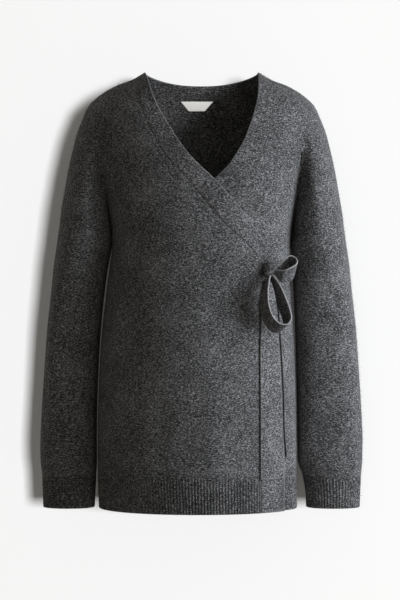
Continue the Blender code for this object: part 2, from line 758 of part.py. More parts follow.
def level_tangent_normals(points):
    """Level outward normals of places on the front, from the surface itself"""
    step = 0.001
    x, z = points[:, 0], points[:, 2]
    along = surface("front", x + step, z) - surface("front", x - step, z)
    normals = np.stack([along[:, 1], -along[:, 0], np.zeros(len(points))], axis=1)
    return normals / np.linalg.norm(normals, axis=1, keepdims=True)


def hem_row(face, start, end_side, z, tuck):
    """Row of a hem rib: base points and normals at shares of its length"""
    dense_x = level_row(start, end_side, z, 240)
    dense = surface(face, dense_x, np.full_like(dense_x, z))
    dense[-1, 1] = 0
    if face == "back":
        dense[0, 1] = 0
    normals = level_normals(dense, np.array([0.0, 0.0, z]))
    if tuck:
        dense = tucked(dense, normals)
    length = np.concatenate([[0], np.cumsum(np.linalg.norm(np.diff(dense, axis=0), axis=1))])
    low, high = SEAM_GAP / 2, length[-1] - SEAM_GAP / 2

    def row(share):
        at = low + (high - low) * share
        base = np.stack([np.interp(at, length, dense[:, k]) for k in range(3)], axis=1)
        normal = np.stack([np.interp(at, length, normals[:, k]) for k in range(3)], axis=1)
        return base, normal / np.linalg.norm(normal, axis=1, keepdims=True)

    return row, high - low


def even_count(length, pitch):
    """Number of ribs in a length, as an even number"""
    return 2 * int(round(length / pitch / 2))


def hem_rib(name, face, start, side, tuck):
    rows = []
    length = 0
    for z in (RIB_TOP_Z - SEAM_GAP / 2, HEM_Z):
        row, length = hem_row(face, start(z), side, z, tuck)
        rows.append(row)
    rib_wall(name, rows, even_count(length, RIB_PITCH), RIB_CLOTH)


def back_start(z):
    """Right side seam of the back"""
    return at_height(BODY, "lean", z) - at_height(BODY, "half_width", z)


def cuff(name, side):
    """Ribbed cuff, closed round the wrist"""
    rows = []
    length = 0
    for z in (CUFF_TOP_Z - SEAM_GAP / 2, (CUFF_TOP_Z + CUFF_Z) / 2 - 0.004, CUFF_Z):
        angle = np.linspace(0, 2 * np.pi, 241)
        dense = arm_section(side, angle, np.full_like(angle, z))
        middle = dense[:-1].mean(axis=0)
        normals = level_normals(dense, middle)
        normals[[0, -1]] = (side, 0, 0)
        steps = np.linalg.norm(np.diff(dense, axis=0), axis=1)
        along = np.concatenate([[0], np.cumsum(steps)])
        length = along[-1]

        def row(share, dense=dense, normals=normals, along=along):
            at = along[-1] * share
            base = np.stack([np.interp(at, along, dense[:, k]) for k in range(3)], axis=1)
            normal = np.stack([np.interp(at, along, normals[:, k]) for k in range(3)], axis=1)
            return base, normal / np.linalg.norm(normal, axis=1, keepdims=True)

        rows.append(row)
    rib_wall(name, rows, even_count(length, RIB_PITCH), RIB_CLOTH, closed=True)


def cloth_panels():
    """Back, fronts, sleeves and bands, with normals shared across their seams"""
    grids = {
        "back": back_grid(),
        "neck_band": neck_band_grid(),
    }
    for side, name in ((-1, "right"), (1, "left")):
        grids[name + "_front"] = front_grid(side)
        grids[name + "_front_band"] = band_grid(side)
        grids[name + "_sleeve"] = sleeve_grid(side)
    totals = {}
    for name, grid in grids.items():
        add_cell_normals(totals, grid, name.endswith("sleeve"))
    for side in (-1, 1):
        totals[place_key(np.array([side * UNDERARM_X, 0, UNDERARM_Z]))] = np.array([0, 0, -1.0])
    seams = {
        "back": ("top", "bottom", "left", "right"),
        "neck_band": ("top", "left", "right"),
        "right_front": ("top", "bottom", "left", "right"),
        "left_front": ("top", "bottom", "left", "right"),
        "right_front_band": ("top", "left"),
        "left_front_band": ("top", "left"),
        "right_sleeve": ("top", "bottom"),
        "left_sleeve": ("top", "bottom"),
    }
    for name, grid in grids.items():
        level = None if "band" in name else -1
        normals = grid_normals(totals, grid, level)
        if name.endswith("front_band"):
            normals[-1] = level_tangent_normals(grid[-1])
        outer = grid
        if name.startswith("left_front"):
            outer = tucked(grid, normals)
        inner = outer - normals * WALL
        closed = name.endswith("sleeve")
        wall(name, inset(outer, seams[name]), inset(inner, seams[name]), CLOTH, closed)


def surface_normal(face, x, z):
    """Outward normal of the front or back at one place"""
    step = 0.002
    over = surface(face, x + step, z, False) - surface(face, x - step, z, False)
    up = surface(face, x, z + step, False) - surface(face, x, z - step, False)
    normal = np.cross(over, up)
    normal /= np.linalg.norm(normal, axis=-1, keepdims=True)
    away = normal[..., 1:2] if face == "back" else -normal[..., 1:2]
    return normal * np.sign(away)


def knot_place():
    """Middle of the knot, which is seated on the right front's band, and the way out there"""
    seat = surface("front", KNOT_X, KNOT_Z)
    out = surface_normal("front", KNOT_X, KNOT_Z)
    return seat + out * (KNOT_RADII[2] + 2 * SEAM_GAP), out


def tie_knot():
    """Rounded knot"""
    middle, out = knot_place()
    level = np.cross(out, (0.0, 0.0, 1.0))
    level /= np.linalg.norm(level)
    up = np.cross(level, out)
    rings, spokes = 8, 12
    points = [middle + up * KNOT_RADII[1]]
    for i in range(1, rings):
        tilt = np.pi * i / rings
        for j in range(spokes):
            turn = 2 * np.pi * j / spokes
            across = level * np.cos(turn) * KNOT_RADII[0] + out * np.sin(turn) * KNOT_RADII[2]
            points.append(middle + up * np.cos(tilt) * KNOT_RADII[1] + across * np.sin(tilt) ** 0.8)
    points.append(middle - up * KNOT_RADII[1])
    faces = []
    last = len(points) - 1
    for j in range(spokes):
        k = (j + 1) % spokes
        faces.append((0, 1 + j, 1 + k))
        faces.append((last, last - spokes + k, last - spokes + j))
        for i in range(rings - 2):
            a, b = 1 + i * spokes + j, 1 + i * spokes + k
            faces.append((a, a + spokes, b + spokes, b))
    add_object("tie_knot", points, faces, CLOTH)


def tie_loop(name, path, across, steps):
    """Loop of flat tie along a middle line, narrowed where it enters the knot"""
    places = knot_place()[0] + np.stack([path["x"], path["y"], path["z"]], axis=1)
    knots = np.concatenate([[0], np.cumsum(np.linalg.norm(np.diff(places, axis=0), axis=1))])
    at = np.linspace(0, knots[-1], steps + 1)
    middle = np.stack([hermite(knots, places[:, k], at) for k in range(3)], axis=1)
    share = hermite(knots, path["share"], at)
    wide = np.array(across) / np.linalg.norm(across)
    along = np.gradient(middle, axis=0)
    along -= (along @ wide)[:, None] * wide
    flat = np.cross(along, wide)
    flat /= np.linalg.norm(flat, axis=1, keepdims=True)
    half = (share * TIE_WIDTH / 2)[:, None] * wide
    columns = [middle - half, middle - half * 0.2, middle + half * 0.5, middle + half]
    outer = np.stack([c + flat * TIE_THICKNESS / 2 for c in columns], axis=1)
    inner = np.stack([c - flat * TIE_THICKNESS / 2 for c in columns], axis=1)
    wall(name, outer, inner, CLOTH)


def tie_tail(name, rows, steps):
    """Hanging tail that lies on the front, made from its points moved out"""
    z = np.linspace(rows["height"][0], rows["height"][-1], steps + 1)
    left, right = at_height(rows, "left", z), at_height(rows, "right", z)
    share = np.linspace(0, 1, 5)
    x = left[:, None] + (right - left)[:, None] * share
    z = np.broadcast_to(z[:, None], x.shape)
    base = surface("front", x, z, folded=False)
    normals = surface_normal("front", x, z)
    inner = base + normals * TAIL_GAP
    outer = inner + normals * TIE_THICKNESS
    wall(name, outer, inner, CLOTH)


def neck_label():
    """Bare woven strip that hangs from the back neck seam, inside the back"""
    down = np.linspace(0, 1, 4)
    share = np.linspace(0, 1, 7)
    left = LABEL_LEFT + LABEL_TAPER * down
    right = LABEL_RIGHT - LABEL_TAPER * down
    x = left[:, None] + (right - left)[:, None] * share
    z = np.broadcast_to((BACK_SEAM_Z - 0.001 - LABEL_DROP * down)[:, None], x.shape)
    base = surface("back", x, z)
    normals = surface_normal("back", x, z)
    outer = base - normals * (WALL + 2 * SEAM_GAP)
    inner = outer - normals * LABEL_THICKNESS
    wall("neck_label", outer, inner, LABEL_CLOTH)


def main():
    for old in list(bpy.data.objects):
        bpy.data.objects.remove(old, do_unlink=True)
    cloth_panels()
    hem_rib("back_hem_rib", "back", back_start, 1, False)
    hem_rib("right_front_hem_rib", "front", lambda z: band_line(-1, z), -1, False)
    hem_rib("left_front_hem_rib", "front", lambda z: band_line(1, z), 1, True)
    cuff("right_cuff", -1)
    cuff("left_cuff", 1)
    tie_knot()
    tie_loop("tie_upper_loop", UPPER_LOOP, UPPER_LOOP_ACROSS, 18)
    tie_loop("tie_lower_loop", LOWER_LOOP, LOWER_LOOP_ACROSS, 22)
    tie_tail("tie_front_tail", FRONT_TAIL, 12)
    tie_tail("tie_back_tail", BACK_TAIL, 12)
    neck_label()


main()
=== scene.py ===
"""Wrap cardigan in soft brushed knit: how it looks.

The cloth follows the same body surface as the solids, with finer steps, listed creases,
rolled edges, fine ribs, fuzz and a melange knit finish.
"""

import math

import bpy
import numpy as np
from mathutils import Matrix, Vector


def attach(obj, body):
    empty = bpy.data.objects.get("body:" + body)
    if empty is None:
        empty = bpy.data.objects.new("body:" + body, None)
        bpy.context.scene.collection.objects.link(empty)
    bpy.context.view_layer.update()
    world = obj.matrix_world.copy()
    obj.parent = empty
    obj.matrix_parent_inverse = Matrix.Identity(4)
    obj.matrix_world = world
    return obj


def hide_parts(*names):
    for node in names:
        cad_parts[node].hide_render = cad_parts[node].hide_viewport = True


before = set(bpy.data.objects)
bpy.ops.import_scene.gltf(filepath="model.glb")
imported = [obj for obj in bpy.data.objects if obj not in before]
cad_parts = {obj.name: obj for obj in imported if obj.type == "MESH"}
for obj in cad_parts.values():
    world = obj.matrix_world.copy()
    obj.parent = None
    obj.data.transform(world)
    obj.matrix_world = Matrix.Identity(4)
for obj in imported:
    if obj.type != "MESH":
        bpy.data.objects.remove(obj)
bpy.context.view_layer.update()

# Cloth, in metres
WALL = 0.0022
LAYER = 0.0051
LAYER_REACH = (0.016, 0.032)
SEAM_SETBACK = 0.0009
SEAM_SINK = 0.0004
SEAM_GAP = 0.0001
RIB_PITCH = 0.0046
RIB_RAISE = 0.0012
RIB_POINTS = 6
RIM_WEIGHTS = (0.85, 0.5, 0.15)
TIE_THICKNESS = 0.0022
TIE_WIDTH = 0.036

RIB_ROWS = 12
RIB_GROWTH = 0.009
TIE_SHARES = np.array([-1.0, -0.93, -0.8, -0.6, -0.4, -0.2, 0.0, 0.2, 0.4, 0.6, 0.8, 0.93, 1.0])
KNOT_SLANT = (0.55, 0.84, 0.05)
FUZZ_DENSITY = 90000.0
FUZZ_LENGTH = 0.0034
FUZZ_WIDTH = 0.00016
KNIT_LINES = (2900.0, 3800.0, 1.0)

# Main heights, down from the neck points
UNDERARM_Z = -0.270
RIB_TOP_Z = -0.628
HEM_Z = -0.686
CUFF_TOP_Z = -0.637
CUFF_Z = -0.687
BACK_SEAM_Z = -0.035
BACK_NECK_Z = -0.012

# How the surface is rounded
BACK_SQUARE = 2.3
ROUND = 0.045
ARM_DEPTH = 0.055
WEB = 0.006
SPREAD = 0.020
SPREAD_TOP_Z = -0.090
FOLD_FLARE_Z = -0.150
FOLD_CLOSE = 0.020
FOLD_INSET = 0.0025
FOLD_RELAX = 0.120

# Grid steps
TOP_ROWS = 44
TRUNK_STEPS = 34
ARM_STEPS = 24
NECK_STEPS = 16
SLEEVE_ROWS = 84
ROW_STEP = 0.0065
BAND_SHARES = np.array([0.0, 0.16, 0.34, 0.52, 0.70, 0.84, 0.94, 1.0])


def table(names, rows):
    """Columns of a short table, by name"""
    return dict(zip(names.split(), np.array(rows, float).T))


# Outline seen from the front: back neck, neck point, band seam, shoulder, arm
NECK_NODE = 2
BAND_NODE = 3
FOLD_NODE = 6
ARMHOLE_NODE = 12
OUTLINE = table("half_width height", [
    (0.0000, 0.0400),
    (0.0450, 0.0220),
    (0.0890, 0.0000),
    (0.1090, -0.0115),
    (0.1360, -0.0220),
    (0.1640, -0.0395),
    (0.1785, -0.0540),
    (0.1880, -0.0743),
    (0.1959, -0.0948),
    (0.2038, -0.1248),
    (0.2117, -0.1612),
    (0.2180, -0.1975),
    (0.2217, -0.2190),
    (0.2244, -0.2402),
    (0.2291, -0.2812),
    (0.2354, -0.3255),
])

# Level sections of the body; above the underarm half_width is the fold beside the arm
BODY = table("height half_width front_depth back_depth lean front_square", [
    (0.040, 0.1620, 0.068, 0.070, 0.0000, 2.30),
    (-0.010, 0.1620, 0.078, 0.077, 0.0000, 2.30),
    (-0.050, 0.1610, 0.092, 0.087, 0.0000, 2.30),
    (-0.100, 0.1575, 0.106, 0.096, 0.0000, 2.30),
    (-0.185, 0.1495, 0.116, 0.099, 0.0000, 2.30),
    (-0.270, 0.1405, 0.118, 0.090, 0.0000, 2.30),
    (-0.320, 0.1440, 0.122, 0.087, -0.0028, 2.10),
    (-0.420, 0.1522, 0.128, 0.096, -0.0058, 2.00),
    (-0.520, 0.1560, 0.126, 0.107, -0.0069, 2.00),
    (-0.628, 0.1570, 0.117, 0.110, -0.0066, 2.02),
    (-0.686, 0.1558, 0.110, 0.109, -0.0056, 2.05),
])

# Level sections of a sleeve: sides, depth, middle line, share of the body's lean, squareness
ARM = table("height inner outer half_depth middle lean_share square", [
    (-0.200, 0.1405, 0.2184, 0.0550, 0.0000, 1.0, 2.00),
    (-0.270, 0.1405, 0.2278, 0.0550, 0.0000, 1.0, 2.00),
    (-0.300, 0.1448, 0.2325, 0.0545, 0.0040, 1.0, 2.15),
    (-0.340, 0.1490, 0.2370, 0.0525, 0.0100, 1.0, 2.45),
    (-0.400, 0.1540, 0.2440, 0.0500, 0.0160, 1.0, 2.80),
    (-0.470, 0.1574, 0.2495, 0.0475, 0.0200, 1.0, 2.90),
    (-0.540, 0.1592, 0.2540, 0.0455, 0.0200, 1.0, 2.90),
    (-0.590, 0.1596, 0.2558, 0.0445, 0.0180, 1.0, 2.80),
    (-0.618, 0.1602, 0.2550, 0.0425, 0.0160, 0.9, 2.50),
    (-0.637, 0.1640, 0.2528, 0.0365, 0.0140, 0.5, 2.20),
    (-0.660, 0.1668, 0.2514, 0.0320, 0.0120, 0.3, 2.10),
    (-0.687, 0.1682, 0.2504, 0.0300, 0.0120, 0.3, 2.10),
])

# Free front edges and the level width of the band beside them
EDGE = table("height right_edge left_edge band", [
    (0.0000, -0.0890, 0.0890, 0.0200),
    (-0.0150, -0.0835, 0.0885, 0.0215),
    (-0.0410, -0.0752, 0.0868, 0.0240),
    (-0.0670, -0.0639, 0.0812, 0.0280),
    (-0.0940, -0.0484, 0.0725, 0.0320),
    (-0.1180, -0.0329, 0.0628, 0.0350),
    (-0.1385, -0.0175, 0.0505, 0.0380),
    (-0.1540, -0.0023, 0.0402, 0.0400),
    (-0.1740, 0.0192, 0.0190, 0.0425),
    (-0.1966, 0.0402, -0.0080, 0.0450),
    (-0.2178, 0.0585, -0.0320, 0.0460),
    (-0.2373, 0.0738, -0.0540, 0.0440),
    (-0.2553, 0.0862, -0.0750, 0.0380),
    (-0.2718, 0.0965, -0.0915, 0.0280),
    (-0.2900, 0.1010, -0.1030, 0.0180),
    (-0.3120, 0.1045, -0.1080, 0.0110),
    (-0.3437, 0.1128, -0.1120, 0.0170),
    (-0.3900, 0.1225, -0.1160, 0.0290),
    (-0.4500, 0.1270, -0.1190, 0.0355),
    (-0.5600, 0.1287, -0.1200, 0.0370),
    (-0.6860, 0.1291, -0.1200, 0.0370),
])

# Soft folds of the front and back: start, end, depth (negative is a trough), half width
FRONT_FOLDS = table("start_x start_z end_x end_z depth width", [
    (0.0960, -0.3110, -0.0560, -0.2940, -0.0022, 0.0090),
    (0.0950, -0.3250, -0.0150, -0.4040, -0.0030, 0.0110),
    (0.0980, -0.3300, 0.0600, -0.4300, -0.0020, 0.0120),
    (0.0880, -0.2640, 0.0960, -0.3020, -0.0035, 0.0060),
    (-0.0020, -0.2140, 0.0540, -0.2760, -0.0022, 0.0120),
    (-0.1230, -0.4150, -0.1370, -0.5600, -0.0040, 0.0130),
    (-0.1250, -0.2500, -0.0700, -0.2950, -0.0025, 0.0140),
])
BACK_FOLDS = table("start_x start_z end_x end_z depth width", [
    (0.1150, -0.2700, 0.0150, -0.3650, -0.0030, 0.0150),
    (-0.1150, -0.2600, -0.0350, -0.3400, -0.0032, 0.0140),
    (-0.0900, -0.3900, -0.1050, -0.5300, -0.0030, 0.0150),
    (0.0600, -0.4300, 0.0750, -0.5800, -0.0026, 0.0160),
])

# Finer creases between those folds, each with its own length and depth
FRONT_CREASES = table("start_x start_z end_x end_z depth width", [
    (0.0780, -0.2760, 0.0930, -0.3080, 0.0026, 0.0040),
    (0.0850, -0.3000, -0.0300, -0.2760, 0.0018, 0.0100),
    (0.0900, -0.3560, 0.0250, -0.4500, -0.0029, 0.0100),
    (-0.1280, -0.2750, -0.0850, -0.3250, -0.0032, 0.0090),
    (-0.1200, -0.3300, -0.0600, -0.3500, -0.0022, 0.0100),
    (-0.0600, -0.5200, -0.0650, -0.6200, -0.0026, 0.0140),
    (0.0200, -0.5000, 0.0150, -0.6200, 0.0019, 0.0160),
    (0.1400, -0.4200, 0.1450, -0.5600, -0.0026, 0.0080),
    (-0.1450, -0.1250, -0.1250, -0.2450, -0.0032, 0.0120),
    (0.1350, -0.1150, 0.1250, -0.2450, -0.0029, 0.0120),
])
BACK_CREASES = table("start_x start_z end_x end_z depth width", [
    (0.0100, -0.0700, -0.0050, -0.1600, -0.0024, 0.0200),
    (0.1250, -0.1200, 0.0900, -0.2400, -0.0035, 0.0120),
    (-0.1250, -0.1100, -0.0950, -0.2300, -0.0030, 0.0130),
    (0.1100, -0.3300, 0.0400, -0.3900, -0.0027, 0.0100),
    (-0.1080, -0.3100, -0.0500, -0.3700, -0.0032, 0.0110),
    (0.0100, -0.4500, 0.0050, -0.6000, 0.0022, 0.0180),
    (-0.0450, -0.4800, -0.0520, -0.6100, -0.0027, 0.0140),
    (0.1180, -0.4000, 0.1250, -0.5200, -0.0029, 0.0120),
])
# Creases of the sleeves: the angle shifts by turn from top to bottom, so they run aslant
RIGHT_ARM_CREASES = table("angle turn top bottom depth width", [
    (95.0, -42.0, -0.300, -0.375, -0.0032, 9.0),
    (60.0, 30.0, -0.395, -0.470, -0.0027, 9.0),
    (-10.0, -30.0, -0.540, -0.630, -0.0035, 9.0),
    (130.0, 22.0, -0.500, -0.590, -0.0029, 10.0),
    (-80.0, 40.0, -0.330, -0.420, -0.0030, 10.0),
    (88.0, -18.0, -0.585, -0.634, 0.0024, 9.0),
])
LEFT_ARM_CREASES = table("angle turn top bottom depth width", [
    (100.0, -48.0, -0.315, -0.400, -0.0035, 10.0),
    (50.0, 34.0, -0.410, -0.480, -0.0029, 9.0),
    (-20.0, 28.0, -0.545, -0.630, -0.0032, 9.0),
    (135.0, 16.0, -0.400, -0.500, -0.0030, 11.0),
    (-95.0, 36.0, -0.430, -0.520, -0.0029, 10.0),
    (62.0, -20.0, -0.590, -0.635, 0.0026, 8.0),
])

# Lengthwise folds of the sleeves: angle from the outer side towards the front, in degrees
RIGHT_ARM_FOLDS = table("angle top bottom depth width", [
    (38.0, -0.430, -0.620, -0.0030, 14.0),
    (118.0, -0.330, -0.470, -0.0026, 15.0),
    (-55.0, -0.380, -0.560, -0.0030, 15.0),
])
LEFT_ARM_FOLDS = table("angle top bottom depth width", [
    (32.0, -0.480, -0.632, -0.0036, 13.0),
    (105.0, -0.520, -0.625, -0.0024, 14.0),
    (-62.0, -0.360, -0.520, -0.0030, 15.0),
])

# Bow: knot, the middle lines of its loops from the knot's middle with their share of the full
# width, and the tails
KNOT_X = 0.0985
KNOT_Z = -0.3125
KNOT_RADII = (0.0105, 0.0125, 0.0100)
LOWER_LOOP_ACROSS = (-0.011, 0.033, -0.014)
LOWER_LOOP = table("x y z share", [
    (0.00233, -0.00718, -0.01079, 0.35),
    (0.0106, -0.0231, -0.0307, 0.75),
    (0.0171, -0.0301, -0.0517, 1.00),
    (0.0231, -0.0316, -0.0692, 1.00),
    (0.0246, -0.0321, -0.0802, 1.00),
    (0.0186, -0.0321, -0.0887, 1.00),
    (0.0086, -0.0321, -0.0882, 1.00),
    (-0.0014, -0.0321, -0.0797, 1.00),
    (-0.0084, -0.0321, -0.0627, 1.00),
    (-0.0104, -0.0301, -0.0437, 1.00),
    (-0.0079, -0.0231, -0.0287, 0.75),
    (-0.00213, -0.00696, -0.01046, 0.35),
])
UPPER_LOOP_ACROSS = (-0.004, 0.028, -0.0216)
UPPER_LOOP = table("x y z share", [
    (0.00908, -0.00611, -0.0044, 0.40),
    (0.0191, -0.0091, -0.0099, 0.85),
    (0.0279, -0.0086, -0.0076, 1.00),
    (0.0361, -0.0051, -0.0027, 1.00),
    (0.0384, 0.0009, 0.0028, 1.00),
    (0.0351, 0.0059, 0.0083, 1.00),
    (0.0276, 0.0074, 0.0108, 1.00),
    (0.0198, 0.0049, 0.0068, 0.85),
    (0.01146, -0.00054, 0.00116, 0.40),
])
FRONT_TAIL = table("height left right", [
    (-0.3300, 0.0970, 0.1070),
    (-0.3600, 0.0925, 0.1120),
    (-0.4200, 0.0885, 0.1163),
    (-0.5000, 0.0885, 0.1210),
    (-0.5700, 0.0888, 0.1240),
    (-0.6340, 0.0890, 0.1250),
])
BACK_TAIL = table("height left right", [
    (-0.3310, 0.1090, 0.1170),
    (-0.3600, 0.1150, 0.1300),
    (-0.4200, 0.1201, 0.1395),
    (-0.5000, 0.1250, 0.1430),
    (-0.5700, 0.1270, 0.1440),
    (-0.6020, 0.1300, 0.1440),
])
TAIL_GAP = 0.0009

# Neck label: a bare woven strip below the back neck seam
LABEL_LEFT = -0.034
LABEL_RIGHT = 0.019
LABEL_TAPER = 0.0135
LABEL_DROP = 0.0155
LABEL_THICKNESS = 0.0008
LABEL_NOTCH = 0.0017

# Pieces that each soft light shines on; every piece is in the first group
LIT_GROUPS = {
    "garment": (),
    "neck": ("neck_band", "back"),
    "label": ("neck_label",),
    "tie": ("tie_knot", "tie_upper_loop", "tie_lower_loop", "tie_front_tail", "tie_back_tail"),
    "sleeve": ("left_sleeve", "left_cuff"),
}


def hermite(knots, values, at):
    """Smooth curve through values at rising knots"""
    at = np.clip(at, knots[0], knots[-1])
    slopes = np.gradient(values, knots)
    i = np.clip(np.searchsorted(knots, at) - 1, 0, len(knots) - 2)
    step = knots[i + 1] - knots[i]
    t = (at - knots[i]) / step
    rise = 3 * t**2 - 2 * t**3
    lead = t**3 - 2 * t**2 + t
    trail = t**3 - t**2
    bend = lead * slopes[i] + trail * slopes[i + 1]
    return values[i] * (1 - rise) + values[i + 1] * rise + step * bend


def at_height(columns, name, z):
    """One column of a table at any height"""
    return hermite(columns["height"][::-1], columns[name][::-1], z)


def rounding(t):
    """Quarter circle: 0 at the outline, 1 from t = 1 on"""
    t = np.clip(t, 0.0, 1.0)
    return np.sqrt(1 - (1 - t) ** 2)


def fade(low, high, value):
    """1 below low, 0 above high, smooth between"""
    t = np.clip((value - low) / (high - low), 0.0, 1.0)
    return 1 - t * t * (3 - 2 * t)


# The outline as a curve by its length, and as close points
OUTLINE_STEPS = np.hypot(np.diff(OUTLINE["half_width"]), np.diff(OUTLINE["height"]))
OUTLINE_LENGTH = np.concatenate([[0.0], np.cumsum(OUTLINE_STEPS)])


def outline(length):
    """Half width and height of the outline at a length along it"""
    half_width = hermite(OUTLINE_LENGTH, OUTLINE["half_width"], length)
    return half_width, hermite(OUTLINE_LENGTH, OUTLINE["height"], length)


DENSE_X, DENSE_Z = outline(np.linspace(0, OUTLINE_LENGTH[-1], 400))


def outline_distance(x, z):
    """Distance from a point of the front view to the outline"""
    x = np.abs(np.asarray(x, float))[..., None]
    z = np.asarray(z, float)[..., None]
    ax, az = DENSE_X[:-1], DENSE_Z[:-1]
    bx, bz = np.diff(DENSE_X), np.diff(DENSE_Z)
    t = np.clip(((x - ax) * bx + (z - az) * bz) / (bx**2 + bz**2), 0, 1)
    return np.hypot(x - ax - t * bx, z - az - t * bz).min(axis=-1)


def fold_depth(folds, x, z):
    """Sum of soft folds: each is deepest at its middle and dies out towards its ends"""
    total = np.zeros(np.shape(x))
    for x0, z0, x1, z1, depth, width in zip(*folds.values()):
        run = (x1 - x0) ** 2 + (z1 - z0) ** 2
        t = np.clip(((x - x0) * (x1 - x0) + (z - z0) * (z1 - z0)) / run, 0, 1)
        away = np.hypot(x - x0 - t * (x1 - x0), z - z0 - t * (z1 - z0))
        total += depth * np.exp(-((away / width) ** 2)) * (1 - 0.6 * t)
    return total


def body_half_depth(face, x, z, folded=True):
    """Depth of one face from the middle plane, at any place of the front view"""
    x, z = np.broadcast_arrays(np.asarray(x, float), np.asarray(z, float))
    deep = at_height(BODY, face + "_depth", z)
    side = at_height(BODY, "half_width", z)
    reach = np.abs(x - at_height(BODY, "lean", z))
    above = np.clip(z - UNDERARM_Z, 0, None)
    spread = SPREAD * (above / (SPREAD_TOP_Z - UNDERARM_Z)) ** 2.2
    share = np.clip(reach / (side + spread), 0, 1)
    square = at_height(BODY, "front_square", z) if face == "front" else BACK_SQUARE
    trunk = deep * (1 - share**square) ** (1 / square)
    outer = np.interp(-z, -DENSE_Z, DENSE_X)
    inner = side - spread
    middle = (inner + outer) / 2
    across = np.clip((middle - reach) / (middle - inner), 0, 1)
    arm = np.where(above > 0, ARM_DEPTH * np.sqrt(1 - across**2), 0)
    web = WEB * rounding(above / (2 * WEB))
    flat = (trunk**6 + arm**6 + web**6) ** (1 / 6)
    near_side = fade(0.90, 1.0, reach / (side + spread + 1e-9))
    folds = FRONT_FOLDS if face == "front" else BACK_FOLDS
    creases = FRONT_CREASES if face == "front" else BACK_CREASES
    if folded:
        pressed = fold_depth(folds, x, z) + fold_depth(creases, x, z)
        flat = flat + pressed * near_side * (flat > 0.02)
    rounded = np.where(above > 0, rounding(outline_distance(x, z) / ROUND), 1)
    return flat * rounded


def surface(face, x, z, folded=True):
    """Points of the front or back surface over places of the front view"""
    x, z = np.broadcast_arrays(np.asarray(x, float), np.asarray(z, float))
    y = body_half_depth(face, x, z, folded)
    if face == "front":
        y = -y
    return np.stack([x, y, z], axis=-1)


UNDERARM_X = float(at_height(BODY, "half_width", np.array(UNDERARM_Z)))
ARMHOLE_X = OUTLINE["half_width"][ARMHOLE_NODE]
ARMHOLE_Z = OUTLINE["height"][ARMHOLE_NODE]
TOP_FADE = np.linspace(0, 1, TOP_ROWS + 1) ** 1.6
BODY_ROWS = int(round((UNDERARM_Z - RIB_TOP_Z) / ROW_STEP))
BODY_HEIGHTS = np.linspace(UNDERARM_Z, RIB_TOP_Z, BODY_ROWS + 1)[1:]
HEM_HEIGHTS = np.linspace(RIB_TOP_Z, HEM_Z, 10)[1:]


def armhole(side):
    """Armhole seam in the front view, from the outline down to the underarm"""
    share = (1 - np.cos(np.pi * np.linspace(0, 1, TOP_ROWS + 1))) / 2
    x = ARMHOLE_X + (UNDERARM_X - ARMHOLE_X) * share
    z = ARMHOLE_Z + (UNDERARM_Z - ARMHOLE_Z) * share
    return side * x, z


def outline_run(side, first_node, last_node, steps):
    """Stretch of the outline between two of its nodes"""
    start, end = OUTLINE_LENGTH[first_node], OUTLINE_LENGTH[last_node]
    x, z = outline(np.linspace(start, end, steps + 1))
    return side * x, z


def arm_fold(side):
    """Line of the fold beside the arm, from the outline down to the underarm"""
    top_x = OUTLINE["half_width"][FOLD_NODE]
    top_z = OUTLINE["height"][FOLD_NODE]
    z = top_z + (UNDERARM_Z - top_z) * TOP_FADE
    flare = np.clip((z - FOLD_FLARE_Z) / (top_z - FOLD_FLARE_Z), 0, 1) ** 2
    close = np.clip(1 - (z - UNDERARM_Z) / FOLD_CLOSE, 0, 1) ** 2
    x = at_height(BODY, "half_width", z)
    x += (top_x - x[0]) * flare - FOLD_INSET * close
    return side * x, z


def coons(top, bottom, left, right, across, down):
    """Grid of the front view between four border curves"""
    grids = []
    for t, b, l, r in zip(top, bottom, left, right):
        rows = (1 - down)[:, None] * t + down[:, None] * b
        cols = (1 - across) * l[:, None] + across * r[:, None]
        ends_top = (1 - across) * t[0] + across * t[-1]
        ends_low = (1 - across) * b[0] + across * b[-1]
        corners = (1 - down)[:, None] * ends_top + down[:, None] * ends_low
        grids.append(rows + cols - corners)
    return grids


def level_row(start_x, side, z, steps):
    """Places from start_x to the side seam, even round the body"""
    wide = at_height(BODY, "half_width", z)
    lean = at_height(BODY, "lean", z)
    first = np.arcsin(np.clip((start_x - lean) / wide, -1, 1))
    turn = np.linspace(first, side * np.pi / 2, steps + 1)
    return lean + wide * np.sin(turn)


def panel_row(start_x, side, z, steps):
    """Level row of a panel: trunk steps, then the steps that lead on to the arm above"""
    wide = at_height(BODY, "half_width", z)
    lean = at_height(BODY, "lean", z)
    first = side * np.arcsin(np.clip((start_x - lean) / wide, -1, 1))
    narrow = np.arcsin((UNDERARM_X - FOLD_INSET) / UNDERARM_X)
    even = first + (np.pi / 2 - first) * steps / (steps + ARM_STEPS)
    relax = np.clip((UNDERARM_Z - z) / FOLD_RELAX, 0, 1)
    corner = narrow + (even - narrow) * relax
    turn = np.concatenate([
        np.linspace(first, corner, steps + 1),
        np.linspace(corner, np.pi / 2, ARM_STEPS + 1)[1:],
    ])
    return lean + side * wide * np.sin(turn)


def edge_name(side):
    return "left_edge" if side > 0 else "right_edge"


def band_line(side, z):
    """Seam between a front and its band"""
    return at_height(EDGE, edge_name(side), z) + side * at_height(EDGE, "band", z)


def band_heights():
    """Row heights down the band seam to the rib's top"""
    start = OUTLINE["height"][BAND_NODE]
    top = start + (UNDERARM_Z - start) * TOP_FADE
    return np.concatenate([top, BODY_HEIGHTS])


